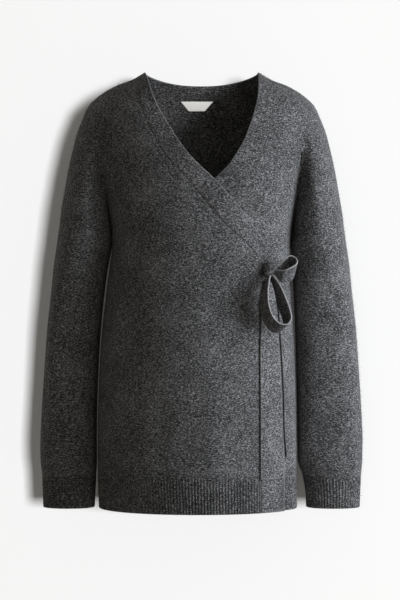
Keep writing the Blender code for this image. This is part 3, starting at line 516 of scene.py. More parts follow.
def panel_grid(face, side, top, first_column, start):
    """Half panel: trunk, then the part over the arm, then level rows down to the rib"""
    steps = len(top[0]) - 1
    row_x = panel_row(first_column[0][-1], side, UNDERARM_Z, steps)
    row = (row_x, np.full(len(row_x), UNDERARM_Z))
    trunk_row = (row[0][: steps + 1], row[1][: steps + 1])
    arm_row = (row[0][steps:], row[1][steps:])
    over_arm = outline_run(side, FOLD_NODE, ARMHOLE_NODE, ARM_STEPS)
    fold = arm_fold(side)
    across = np.linspace(0, 1, steps + 1)
    trunk = coons(top, trunk_row, first_column, fold, across, TOP_FADE)
    across = np.linspace(0, 1, ARM_STEPS + 1)
    arm = coons(over_arm, arm_row, fold, armhole(side), across, TOP_FADE)
    x, z = (np.concatenate([a, b[:, 1:]], axis=1) for a, b in zip(trunk, arm))
    rows = [surface(face, x, z)]
    for height in BODY_HEIGHTS:
        row_x = panel_row(start(height), side, height, steps)
        rows.append(surface(face, row_x, np.full_like(row_x, height))[None])
    grid = np.concatenate(rows)
    grid[0, steps:, 1] = 0
    grid[TOP_ROWS:, -1, 1] = 0
    return grid


def front_grid(side):
    """Front panel from its band seam out to shoulder, armhole and side seam"""
    heights = band_heights()[: TOP_ROWS + 1]
    band_x = band_line(side, heights)
    band_x[0] = side * OUTLINE["half_width"][BAND_NODE]
    top = outline_run(side, BAND_NODE, FOLD_NODE, TRUNK_STEPS)
    grid = panel_grid("front", side, top, (band_x, heights), lambda z: band_line(side, z))
    grid[0, :, 1] = 0
    return grid


def neck_seam(side):
    """Back neck seam and shoulder, from the centre back out to the fold beside the arm"""
    turn = np.linspace(0, np.pi / 2, NECK_STEPS + 1)
    reach = OUTLINE["half_width"][BAND_NODE]
    end_z = OUTLINE["height"][BAND_NODE]
    x = reach * np.sin(turn)
    z = BACK_SEAM_Z + (end_z - BACK_SEAM_Z) * np.sin(turn) ** 2.4
    out_x, out_z = outline_run(side, BAND_NODE, FOLD_NODE, TRUNK_STEPS)
    return np.concatenate([side * x, out_x[1:]]), np.concatenate([z, out_z[1:]])


def half_back(side):
    """Half of the back panel, from the centre line out"""
    left_z = BACK_SEAM_Z + (UNDERARM_Z - BACK_SEAM_Z) * TOP_FADE
    centre = (np.zeros(TOP_ROWS + 1), left_z)
    grid = panel_grid("back", side, neck_seam(side), centre, lambda z: at_height(BODY, "lean", z))
    grid[0, NECK_STEPS:, 1] = 0
    return grid


def back_grid():
    """Back panel from the right side seam to the left one"""
    right = half_back(-1)
    left = half_back(1)
    return np.concatenate([right[:, ::-1], left[:, 1:]], axis=1)


def band_shoulder():
    """Lengths along the outline of the points where a band crosses the shoulder"""
    start, end = OUTLINE_LENGTH[BAND_NODE], OUTLINE_LENGTH[NECK_NODE]
    return start + (end - start) * BAND_SHARES


def band_grid(side):
    """Front band from its seam to the free edge, from the shoulder to the hem"""
    seam_z = np.concatenate([band_heights(), HEM_HEIGHTS])
    seam_x = band_line(side, seam_z)
    seam_x[0] = side * OUTLINE["half_width"][BAND_NODE]
    rise = -OUTLINE["height"][BAND_NODE] * np.clip(1 - np.arange(len(seam_z)) / (0.4 * TOP_ROWS), 0, 1)
    edge_z = seam_z + rise
    edge_x = at_height(EDGE, edge_name(side), edge_z)
    edge_x[0] = side * OUTLINE["half_width"][NECK_NODE]
    x = seam_x[:, None] + (edge_x - seam_x)[:, None] * BAND_SHARES
    z = seam_z[:, None] + (edge_z - seam_z)[:, None] * BAND_SHARES
    shoulder_x, z[0] = outline(band_shoulder())
    x[0] = side * shoulder_x
    grid = surface("front", x, z)
    grid[0, :, 1] = 0
    return grid


def neck_band_grid():
    """Back neck band from its seam up to the free edge, shoulder to shoulder"""
    turn = np.linspace(-np.pi / 2, np.pi / 2, 2 * NECK_STEPS + 1)
    seam = [np.concatenate([a[NECK_STEPS:0:-1], b[: NECK_STEPS + 1]])
            for a, b in zip(neck_seam(-1), neck_seam(1))]
    edge_x = OUTLINE["half_width"][NECK_NODE] * np.sin(turn)
    edge_z = BACK_NECK_Z * np.cos(turn) ** 2
    x = seam[0] + (edge_x - seam[0]) * BAND_SHARES[:, None]
    z = seam[1] + (edge_z - seam[1]) * BAND_SHARES[:, None]
    shoulder_x, shoulder_z = outline(band_shoulder())
    x[:, 0], x[:, -1] = -shoulder_x, shoulder_x
    z[:, 0], z[:, -1] = shoulder_z, shoulder_z
    grid = surface("back", x, z)
    grid[:, [0, -1], 1] = 0
    return grid


def arm_section(side, angle, z):
    """Point of a sleeve at an angle from its outer side towards the front"""
    share = at_height(ARM, "lean_share", z)
    inner = at_height(ARM, "inner", z) + side * share * at_height(BODY, "lean", z)
    outer = at_height(ARM, "outer", z)
    half_depth = at_height(ARM, "half_depth", z)
    folds = LEFT_ARM_FOLDS if side > 0 else RIGHT_ARM_FOLDS
    creases = LEFT_ARM_CREASES if side > 0 else RIGHT_ARM_CREASES
    pull = np.zeros(np.shape(z * angle))
    for degrees, top, bottom, depth, width in zip(*folds.values()):
        away = (np.degrees(angle) - degrees + 180) % 360 - 180
        along = np.clip((top - z) / (top - bottom), 0, 1)
        pull = pull + depth * np.exp(-((away / width) ** 2)) * np.sin(np.pi * along) ** 2
    for degrees, turn, top, bottom, depth, width in zip(*creases.values()):
        along = np.clip((top - z) / (top - bottom), 0, 1)
        away = (np.degrees(angle) - degrees - turn * along + 180) % 360 - 180
        pull = pull + depth * np.exp(-((away / width) ** 2)) * np.sin(np.pi * along) ** 2
    middle = (inner + outer) / 2
    power = 2 / at_height(ARM, "square", z)
    across, forward = (np.sign(v) * np.abs(v) ** power for v in (np.cos(angle), np.sin(angle)))
    x = middle + ((outer - inner) / 2 + pull) * across
    y = at_height(ARM, "middle", z) - (half_depth + pull) * forward
    return np.stack(np.broadcast_arrays(side * x, y, z), axis=-1)


def sleeve_grid(side):
    """Sleeve from the armhole seam down to the cuff, closed round the arm"""
    seam_x, seam_z = armhole(side)
    front = surface("front", seam_x, seam_z)
    back = surface("back", seam_x, seam_z)
    front[[0, -1], 1] = 0
    seam = np.concatenate([front, back[-2:0:-1]])
    angle = np.linspace(0, 2 * np.pi, 2 * TOP_ROWS + 1)[:-1]
    plain = arm_section(side, angle, seam[:, 2])
    rows = []
    for k in range(SLEEVE_ROWS + 1):
        down = k / SLEEVE_ROWS
        z = seam[:, 2] + (CUFF_TOP_Z - seam[:, 2]) * down
        rows.append(arm_section(side, angle, z) + (seam - plain) * (1 - down) ** 3)
    return np.stack(rows)


def quad_normals(grid, closed):
    """Normal of each cell of a grid, by its diagonals"""
    if closed:
        grid = np.concatenate([grid, grid[:, :1]], axis=1)
    first = grid[1:, 1:] - grid[:-1, :-1]
    second = grid[1:, :-1] - grid[:-1, 1:]
    return np.cross(first, second)


def place_key(point):
    return tuple(np.round(point / 1e-5).astype(int))


def add_cell_normals(totals, grid, closed):
    """Add each cell's normal to the places of its corners"""
    cells = quad_normals(grid, closed)
    count = grid.shape[1]
    wide = np.concatenate([grid, grid[:, :1]], axis=1) if closed else grid
    centre = (wide[1:, 1:] + wide[:-1, :-1]) / 2
    axis = grid.reshape(-1, 3).mean(axis=0) * (1, 0, 1)
    if not closed:
        axis[0] = 0
    if (cells * (centre - axis)).sum() < 0:
        cells = -cells
    for i in range(cells.shape[0]):
        for j in range(cells.shape[1]):
            for row, col in ((i, j), (i + 1, j), (i, j + 1), (i + 1, j + 1)):
                key = place_key(grid[row, col % count])
                totals[key] = totals.get(key, 0) + cells[i, j]


def grid_normals(totals, grid, level_row_index=None):
    """Unit normals of a grid's points, shared with the grids that it meets"""
    normals = np.array([[totals[place_key(p)] for p in row] for row in grid])
    if level_row_index is not None:
        normals[level_row_index, :, 2] = 0
    return normals / np.linalg.norm(normals, axis=-1, keepdims=True)


def covered(x, z):
    """1 where the right front lies over the left one, fading out just past its edge"""
    beyond = x - at_height(EDGE, "right_edge", z)
    side = at_height(BODY, "half_width", z) + at_height(BODY, "lean", z)
    reach = np.clip(0.8 * (side - at_height(EDGE, "right_edge", z)), *LAYER_REACH)
    step = 0.002
    below, above = (at_height(EDGE, "right_edge", z + sign * step) for sign in (-1, 1))
    slope = (below - above) / (2 * step)
    return fade(0.35 * reach, reach, beyond / np.hypot(1, slope))


def tucked(points, normals):
    """Left front's points, moved in under the right front"""
    depth = LAYER * covered(points[..., 0], points[..., 2])
    return points - normals * depth[..., None]


def level_normals(points, outward_from):
    """Level normals of a row of points, pointing away from a middle point"""
    along = np.gradient(points, axis=0)
    normals = np.stack([along[:, 1], -along[:, 0], np.zeros(len(points))], axis=1)
    if (normals * (points - outward_from)).sum() < 0:
        normals = -normals
    return normals / np.linalg.norm(normals, axis=1, keepdims=True)


def level_tangent_normals(points):
    """Level outward normals of places on the front, from the surface itself"""
    step = 0.001
    x, z = points[:, 0], points[:, 2]
    along = surface("front", x + step, z) - surface("front", x - step, z)
    normals = np.stack([along[:, 1], -along[:, 0], np.zeros(len(points))], axis=1)
    return normals / np.linalg.norm(normals, axis=1, keepdims=True)


def even_count(length, pitch):
    """Number of ribs in a length, as an even number"""
    return 2 * int(round(length / pitch / 2))


def surface_normal(face, x, z):
    """Outward normal of the front or back at one place"""
    step = 0.002
    over = surface(face, x + step, z, False) - surface(face, x - step, z, False)
    up = surface(face, x, z + step, False) - surface(face, x, z - step, False)
    normal = np.cross(over, up)
    normal /= np.linalg.norm(normal, axis=-1, keepdims=True)
    away = normal[..., 1:2] if face == "back" else -normal[..., 1:2]
    return normal * np.sign(away)


def length_map(grid, closed):
    """Lengths along the rows and down the columns of a grid, in metres, for the knit's lines"""
    wide = np.concatenate([grid, grid[:, :1]], axis=1) if closed else grid
    across = np.linalg.norm(np.diff(wide, axis=1), axis=2)
    down = np.linalg.norm(np.diff(wide, axis=0), axis=2)
    u = np.concatenate([np.zeros((len(wide), 1)), np.cumsum(across, axis=1)], axis=1)
    v = np.concatenate([np.zeros((1, wide.shape[1])), np.cumsum(down, axis=0)])
    return np.stack([u, -v], axis=-1)


def unit(vectors):
    return vectors / (np.linalg.norm(vectors, axis=-1, keepdims=True) + 1e-12)


def border_loops(rows, cols, closed):
    """Grid places round the border, in order"""
    if closed:
        top = [(0, j) for j in range(cols + 1)]
        return [top, [(rows - 1, j) for j in range(cols, -1, -1)]]
    loop = [(0, j) for j in range(cols)]
    loop += [(i, cols - 1) for i in range(1, rows)]
    loop += [(rows - 1, j) for j in range(cols - 2, -1, -1)]
    loop += [(i, 0) for i in range(rows - 2, -1, -1)]
    return [loop]


def border_out(grid, i, j, free, closed):
    """Direction off the sheet at a border place, and whether its edge is free"""
    rows, cols = grid.shape[:2]
    beside = {}
    if i == 0:
        beside["top"] = grid[1, j]
    if i == rows - 1:
        beside["bottom"] = grid[rows - 2, j]
    if j == 0 and not closed:
        beside["left"] = grid[i, 1]
    if j == cols - 1 and not closed:
        beside["right"] = grid[i, cols - 2]
    loose = [side for side in beside if side in free]
    out = sum(unit(grid[i, j] - beside[side]) for side in (loose or beside))
    return out, bool(loose)


def shell(name, outer, normals, free=(), closed=False, inner=None, thick=WALL):
    """Thin closed sheet on an outer grid: rolled free edges and a shallow groove at each seam"""
    rows, cols = outer.shape[:2]
    outer = outer.copy()
    inner = outer - normals * thick if inner is None else inner.copy()
    lengths = length_map(outer, closed)
    rings, ring_uv = [], []
    seam_outer, seam_inner = outer.copy(), inner.copy()
    edge = np.zeros(rows * cols)
    for loop in border_loops(rows, cols, closed):
        ring = []
        for i, j in loop:
            k = j % cols
            normal = normals[i, k]
            out, loose = border_out(seam_outer, i, k, free, closed)
            out = unit(out - normal * (out @ normal))
            place, under = seam_outer[i, k], seam_inner[i, k]
            if loose:
                half = thick / 2
                outer[i, k], inner[i, k] = place - out * half, under - out * half
                middle = (outer[i, k] + inner[i, k]) / 2
                deep = np.linalg.norm(outer[i, k] - inner[i, k]) / 2
                turns = np.radians((45.0, 90.0, 135.0))
                ring.append([middle + normal * deep * math.cos(t) + out * half * math.sin(t) for t in turns])
                edge[i * cols + k] = 1
            else:
                outer[i, k], inner[i, k] = place - out * SEAM_SETBACK, under - out * SEAM_GAP
                back = place - out * SEAM_GAP
                ring.append([back - normal * SEAM_SINK, (back + under) / 2, under - out * SEAM_GAP + normal * 1e-4])
        rings.append(np.array(ring))
        ring_uv.append(np.array([lengths[i, j] for i, j in loop]))
    points = [outer.reshape(-1, 3), inner.reshape(-1, 3)]
    size = rows * cols
    i, j = np.meshgrid(np.arange(rows - 1), np.arange(cols if closed else cols - 1), indexing="ij")
    corners = [(i, j), (i, j + 1), (i + 1, j + 1), (i + 1, j)]
    cells = np.stack([(a * cols + b % cols).ravel() for a, b in corners], axis=1)
    cell_uv = np.stack([lengths[a, b].reshape(-1, 2) for a, b in corners], axis=1)
    faces, uvs = [cells, cells[:, ::-1] + size], [cell_uv, cell_uv[:, ::-1]]
    shares = [edge, edge]
    offset = 2 * size
    for loop, ring, uv in zip(border_loops(rows, cols, closed), rings, ring_uv):
        count = len(loop) - 1
        places = np.array([a * cols + b % cols for a, b in loop])
        lines = [places]
        for k in range(3):
            lines.append(np.concatenate([np.arange(count), [0]]) + offset)
            points.append(ring[:count, k])
            shares.append(edge[places[:count]])
            offset += count
        lines.append(places + size)
        for a, b in zip(lines[:-1], lines[1:]):
            faces.append(np.stack([a[1:], a[:-1], b[:-1], b[1:]], axis=1))
            uvs.append(np.stack([uv[1:], uv[:-1], uv[:-1], uv[1:]], axis=1))
    return mesh_object(name, np.concatenate(points), np.concatenate(faces),
                       np.concatenate(uvs), np.concatenate(shares))


def mesh_object(name, points, faces, uvs, shares):
    """Object from points, faces, lengths for the knit's lines and shares of free edge"""
    corners = points[faces]
    fan = np.einsum("ij,ij->i", corners[:, 0], np.cross(corners[:, 1], corners[:, 2]))
    if faces.shape[1] == 4:
        fan += np.einsum("ij,ij->i", corners[:, 0], np.cross(corners[:, 2], corners[:, 3]))
    if fan.sum() < 0:
        faces, uvs = faces[:, ::-1], uvs[:, ::-1]
    mesh = bpy.data.meshes.new(name)
    mesh.from_pydata(points.tolist(), [], faces.tolist())
    mesh.uv_layers.new(name="UVMap").data.foreach_set("uv", uvs.astype(np.float32).ravel())
    # free_edge marks the free edges, where the knit paints a highlight
    mesh.attributes.new("free_edge", "FLOAT", "POINT").data.foreach_set("value", shares.astype(np.float32))
    mesh.shade_smooth()
    mesh.set_sharp_from_angle(angle=math.radians(58))
    made = bpy.data.objects.new(name, mesh)
    bpy.context.scene.collection.objects.link(made)
    return made


def hem_row(face, start, end_side, z, tuck):
    """Row of a hem rib: base points and normals at shares of its length"""
    dense_x = level_row(start, end_side, z, 300)
    dense = surface(face, dense_x, np.full_like(dense_x, z))
    dense[-1, 1] = 0
    if face == "back":
        dense[0, 1] = 0
    normals = level_normals(dense, np.array([0.0, 0.0, z]))
    if tuck:
        dense = tucked(dense, normals)
    return even_row(dense, normals)


def even_row(dense, normals):
    """Points and normals at even shares of the length of a dense row, as a function"""
    length = np.concatenate([[0], np.cumsum(np.linalg.norm(np.diff(dense, axis=0), axis=1))])

    def row(share):
        at = length[-1] * share
        base = np.stack([np.interp(at, length, dense[:, k]) for k in range(3)], axis=1)
        normal = np.stack([np.interp(at, length, normals[:, k]) for k in range(3)], axis=1)
        return base, unit(normal)

    return row, length[-1]


def rib_grid(rows, heights, count, closed):
    """Level outer and inner points of a band that is to be ribbed, and normals"""
    columns = count * RIB_POINTS + (0 if closed else 1)
    share = np.arange(columns) / (count * RIB_POINTS)
    outer, inner, normals = [], [], []
    for row, z in zip(rows, heights):
        base, normal = row(share)
        outer.append(base)
        inner.append(base - normal * WALL)
        normals.append(normal)
    return np.array(outer), np.array(inner), np.array(normals)


def rib_tree(finish):
    """Raise rounded ribs from a level band, each point along its own outward direction"""
    tree = bpy.data.node_groups.new("ribs", "GeometryNodeTree")
    sockets = (("Geometry", "NodeSocketGeometry"), ("Count", "NodeSocketFloat"), ("Raise", "NodeSocketFloat"))
    for name, kind in sockets:
        tree.interface.new_socket(name, in_out="INPUT", socket_type=kind)
    tree.interface.new_socket("Geometry", in_out="OUTPUT", socket_type="NodeSocketGeometry")
    given = add(tree, "NodeGroupInput").outputs
    kinds = (("rib_along", "FLOAT"), ("rib_share", "FLOAT"), ("rib_out", "FLOAT_VECTOR"))
    along, share, out = (add(tree, "GeometryNodeInputNamedAttribute", {"Name": name}, data_type=kind).outputs[0]
                         for name, kind in kinds)
    turns = add(tree, "ShaderNodeMath", {0: along, 1: given["Count"], 2: 0.5}, operation="MULTIPLY_ADD")
    angle = add(tree, "ShaderNodeMath", {0: turns.outputs["Value"], 1: 2 * math.pi}, operation="MULTIPLY")
    wave = add(tree, "ShaderNodeMath", {0: angle.outputs["Value"]}, operation="COSINE")
    ridge = add(tree, "ShaderNodeMath", {0: wave.outputs["Value"], 1: 0.5, 2: 0.5}, operation="MULTIPLY_ADD")
    round_top = add(tree, "ShaderNodeMath", {0: ridge.outputs["Value"], 1: 0.75}, operation="POWER")
    level = add(tree, "ShaderNodeMath", {0: round_top.outputs["Value"], 1: 0.55}, operation="SUBTRACT")
    raised = add(tree, "ShaderNodeMath", {0: level.outputs["Value"], 1: given["Raise"]}, operation="MULTIPLY")
    lift = add(tree, "ShaderNodeMath", {0: raised.outputs["Value"], 1: share}, operation="MULTIPLY")
    offset = add(tree, "ShaderNodeVectorMath", {0: out, "Scale": lift.outputs["Value"]}, operation="SCALE")
    moved = add(tree, "GeometryNodeSetPosition",
                {"Geometry": given["Geometry"], "Offset": offset.outputs["Vector"]})
    real = add(tree, "GeometryNodeRealizeInstances", {"Geometry": moved.outputs["Geometry"]})
    finished = add(tree, "GeometryNodeSetMaterial", {"Geometry": real.outputs["Geometry"], "Material": finish})
    add(tree, "NodeGroupOutput", {"Geometry": finished.outputs["Geometry"]})
    return tree


def ribbed(made, normals, heights, count, closed, tree):
    """Give a level band its ribs, as a plain mesh"""
    rows, cols = normals.shape[:2]
    along = np.tile(np.arange(cols) / (count * RIB_POINTS), rows)
    grown = np.clip((heights[0] - heights) / RIB_GROWTH, 0, 1) ** 0.7
    grown = np.repeat(grown, cols)
    order, weights = [np.arange(rows * cols)] * 2, [grown, grown * 0]
    for loop in border_loops(rows, cols, closed):
        places = np.array([i * cols + j % cols for i, j in loop[:-1]])
        for weight in RIM_WEIGHTS:
            order.append(places)
            weights.append(grown[places] * weight)
    order = np.concatenate(order)
    values = (("rib_along", "FLOAT", "value", along[order]), ("rib_share", "FLOAT", "value", np.concatenate(weights)),
              ("rib_out", "FLOAT_VECTOR", "vector", normals.reshape(-1, 3)[order]))
    for name, kind, field, numbers in values:
        made.data.attributes.new(name, kind, "POINT").data.foreach_set(field, numbers.astype(np.float32).ravel())
    grow_with(made, "ribs", tree, {"Count": float(count), "Raise": RIB_RAISE})
    return made


def grow_with(made, title, tree, values):
    """Run a tree on an object and keep the result as its plain mesh"""
    grown = made.modifiers.new(title, "NODES")
    grown.node_group = tree
    for item in tree.interface.items_tree:
        if item.in_out == "INPUT" and item.name in values:
            grown[item.identifier] = values[item.name]
    graph = bpy.context.evaluated_depsgraph_get()
    mesh = bpy.data.meshes.new_from_object(made.evaluated_get(graph))
    made.modifiers.remove(grown)
    level = made.data
    made.data = mesh
    bpy.data.meshes.remove(level)


def back_start(z):
    """Right side seam of the back"""
    return at_height(BODY, "lean", z) - at_height(BODY, "half_width", z)


def hem_rib(name, face, start, side, tuck, tree):
    """Hem rib of one panel, from the side seam or the front edge"""
    heights = np.linspace(RIB_TOP_Z, HEM_Z, RIB_ROWS)
    made = [hem_row(face, start(z), side, z, tuck) for z in heights]
    count = even_count(made[-1][1], RIB_PITCH)
    outer, inner, normals = rib_grid([row for row, length in made], heights, count, False)
    made = shell(name, outer, normals, free=("bottom",), inner=inner)
    return ribbed(made, normals, heights, count, False, tree), outer


def cuff(name, side, tree):
    """Cuff rib, closed round the wrist"""
    heights = np.linspace(CUFF_TOP_Z, CUFF_Z, RIB_ROWS)
    made = []
    for z in heights:
        angle = np.linspace(0, 2 * np.pi, 361)
        dense = arm_section(side, angle, np.full_like(angle, z))
        normals = level_normals(dense, dense[:-1].mean(axis=0))
        normals[[0, -1]] = (side, 0, 0)
        made.append(even_row(dense, normals))
    count = even_count(made[-1][1], RIB_PITCH)
    outer, inner, normals = rib_grid([row for row, length in made], heights, count, True)
    made = shell(name, outer, normals, free=("bottom",), closed=True, inner=inner)
    return ribbed(made, normals, heights, count, True, tree), outer


def cloth_panels():
    """Back, fronts, sleeves and bands, with normals shared across their seams"""
    grids = {"back": back_grid(), "neck_band": neck_band_grid()}
    for side, name in ((-1, "right"), (1, "left")):
        grids[name + "_front"] = front_grid(side)
        grids[name + "_front_band"] = band_grid(side)
        grids[name + "_sleeve"] = sleeve_grid(side)
    totals = {}
    for name, grid in grids.items():
        add_cell_normals(totals, grid, name.endswith("sleeve"))
    for side in (-1, 1):
        totals[place_key(np.array([side * UNDERARM_X, 0, UNDERARM_Z]))] = np.array([0, 0, -1.0])
    free = {
        "neck_band": ("bottom",),
        "right_front_band": ("bottom", "right"),
        "left_front_band": ("bottom", "right"),
    }
    made = {}
    for name, grid in grids.items():
        normals = grid_normals(totals, grid)
        if name.startswith("left_front"):
            grid = tucked(grid, normals)
        closed = name.endswith("sleeve")
        made[name] = shell(name, grid, normals, free.get(name, ()), closed), grid
    return made


def knot_place():
    """Middle of the knot, which is seated on the right front's band, and the way out there"""
    seat = surface("front", KNOT_X, KNOT_Z)
    out = surface_normal("front", KNOT_X, KNOT_Z)
    return seat + out * (KNOT_RADII[2] + 0.0006), out


def tie_knot():
    """Knot: a strip wound once over the tie, with its edge across the front"""
    middle, out = knot_place()
    level = unit(np.cross(out, (0.0, 0.0, 1.0)))
    up = np.cross(level, out)
    rings, spokes = 40, 64
    tilt = np.linspace(0.02, np.pi - 0.02, rings)[:, None]
    turn = np.linspace(0, 2 * np.pi, spokes, endpoint=False)[None, :]
    side_share = np.cos(turn) * np.sin(tilt) ** 0.8
    out_share = np.sin(turn) * np.sin(tilt) ** 0.8
    up_share = np.cos(tilt) * np.ones_like(turn)
    slant = side_share * KNOT_SLANT[0] + up_share * KNOT_SLANT[1]
    step = 1 - fade(-0.10, 0.02, slant - KNOT_SLANT[2])
    swell = 0.0012 * step - 0.0006
    swell = swell + 0.0005 * np.cos(9.0 * slant + 0.8) * (1 - 0.5 * step)
    grid = (middle + level * (side_share * KNOT_RADII[0])[..., None]
            + out * (out_share * KNOT_RADII[2])[..., None] + up * (up_share * KNOT_RADII[1])[..., None])
    away = unit(grid - middle)
    grid = grid + away * (swell * np.sin(tilt))[..., None]
    cells = []
    for i in range(rings - 1):
        for j in range(spokes):
            k = (j + 1) % spokes
            cells.append((i * spokes + j, i * spokes + k, (i + 1) * spokes + k, (i + 1) * spokes + j))
    points = np.concatenate([grid.reshape(-1, 3), [grid[0].mean(axis=0), grid[-1].mean(axis=0)]])
    last = (rings - 1) * spokes
    for j in range(spokes):
        k = (j + 1) % spokes
        cells.append((rings * spokes, rings * spokes, k, j))
        cells.append((rings * spokes + 1, rings * spokes + 1, last + j, last + k))
    cells = [c[1:] if c[0] == c[1] else c for c in cells]
    # Weight of a painted highlight along the strip's edge where it faces out, kept as free_edge
    painted_highlight = np.exp(-((slant - KNOT_SLANT[2] - 0.03) / 0.07) ** 2) * (out_share > -0.2)
    mesh = bpy.data.meshes.new("tie_knot")
    mesh.from_pydata(points.tolist(), [], cells)
    spread = np.concatenate([painted_highlight.ravel(), [0, 0]]).astype(np.float32)
    mesh.attributes.new("free_edge", "FLOAT", "POINT").data.foreach_set("value", spread)
    mesh.uv_layers.new(name="UVMap")
    mesh.shade_smooth()
    made = bpy.data.objects.new("tie_knot", mesh)
    bpy.context.scene.collection.objects.link(made)
    return made, grid


def tie_loop(name, path, across, steps):
    """Loop of flat tie along a middle line, narrowed where it enters the knot"""
    places = knot_place()[0] + np.stack([path["x"], path["y"], path["z"]], axis=1)
    knots = np.concatenate([[0], np.cumsum(np.linalg.norm(np.diff(places, axis=0), axis=1))])
    at = np.linspace(0, knots[-1], steps + 1)
    middle = np.stack([hermite(knots, places[:, k], at) for k in range(3)], axis=1)
    share = hermite(knots, path["share"], at)
    wide = unit(np.array(across))
    along = np.gradient(middle, axis=0)
    along -= (along @ wide)[:, None] * wide
    flat = unit(np.cross(along, wide))
    over = TIE_SHARES[None, :, None]
    half = (share * TIE_WIDTH / 2)[:, None, None] * wide
    gather = np.clip(1 - share, 0, 1)[:, None, None]
    pleat = gather * 0.0016 * np.cos(np.pi * 2.5 * over)
    grid = middle[:, None] + half * over + flat[:, None] * (pleat + TIE_THICKNESS / 2)
    normals = np.broadcast_to(flat[:, None], grid.shape)
    return shell(name, grid, normals, free=("left", "right"), thick=TIE_THICKNESS), grid


def tie_tail(name, rows, steps, lift):
    """Hanging tail that lies on the front, made from its points moved out"""
    z = np.linspace(rows["height"][0], rows["height"][-1], steps + 1)
    left, right = at_height(rows, "left", z), at_height(rows, "right", z)
    share = (TIE_SHARES + 1) / 2
    x = left[:, None] + (right - left)[:, None] * share
    z = np.broadcast_to(z[:, None], x.shape)
    base = surface("front", x, z, folded=False)
    normals = surface_normal("front", x, z)
    down = np.linspace(0, 1, steps + 1)[:, None]
    bow = lift * (0.5 + 0.5 * np.sin(7.0 * down + 0.6)) * np.sin(np.pi * share)[None, :] ** 2
    grid = base + normals * (TAIL_GAP + TIE_THICKNESS + bow)[..., None]
    return shell(name, grid, normals, free=("left", "right", "bottom"), thick=TIE_THICKNESS), grid


def neck_label():
    """Bare woven strip that hangs from the back neck seam, its ends folded under"""
    down = np.linspace(0, 1, 13)
    share = np.linspace(0, 1, 41)
    left = LABEL_LEFT + LABEL_TAPER * down
    right = LABEL_RIGHT - LABEL_TAPER * down
    x = left[:, None] + (right - left)[:, None] * share
    z = np.broadcast_to((BACK_SEAM_Z - 0.001 - LABEL_DROP * down)[:, None], x.shape)
    ends = 1 - fade(0.14, 0.26, share) * fade(0.14, 0.26, 1 - share)
    z = z - LABEL_NOTCH * ((1 - ends)[None, :] * ((1 - down) ** 2)[:, None])
    base = surface("back", x, z)
    normals = surface_normal("back", x, z)
    belly = 0.0009 * np.sin(np.pi * down)[:, None] * np.sin(np.pi * share)[None, :]
    folded = LABEL_THICKNESS * 0.7 * ends[None, :]
    grid = base - normals * (WALL + 0.0006 + belly + folded)[..., None]
    return shell("neck_label", grid, -normals, ("top", "bottom", "left", "right"), thick=LABEL_THICKNESS), grid


def colour(code):
    """Linear colour of an sRGB code such as 8f9094"""
    values = [int(code[k:k + 2], 16) / 255 for k in (0, 2, 4)]
    return [v / 12.92 if v <= 0.04045 else ((v + 0.055) / 1.055) ** 2.4 for v in values] + [1.0]


def add(tree, kind, inputs=None, **settings):
    """One node; an input is a value or another node's output"""
    node = tree.nodes.new(kind)
    for name, value in settings.items():
        setattr(node, name, value)
    for name, value in (inputs or {}).items():
        if isinstance(value, bpy.types.NodeSocket):
            tree.links.new(value, node.inputs[name])
        else:
            node.inputs[name].default_value = value
    return node


def ramp(tree, fac, stops):
    node = add(tree, "ShaderNodeValToRGB", {"Fac": fac})
    while len(node.color_ramp.elements) < len(stops):
        node.color_ramp.elements.new(0.5)
    for element, (place, value) in zip(node.color_ramp.elements, stops):
        element.position = place
        element.color = value
    return node.outputs["Color"]


def new_material(name, roughness, specular):
    made = bpy.data.materials.new(name)
    made.use_nodes = True
    shader = made.node_tree.nodes["Principled BSDF"]
    shader.inputs["Roughness"].default_value = roughness
    shader.inputs["Specular IOR Level"].default_value = specular
    return made, made.node_tree, shader


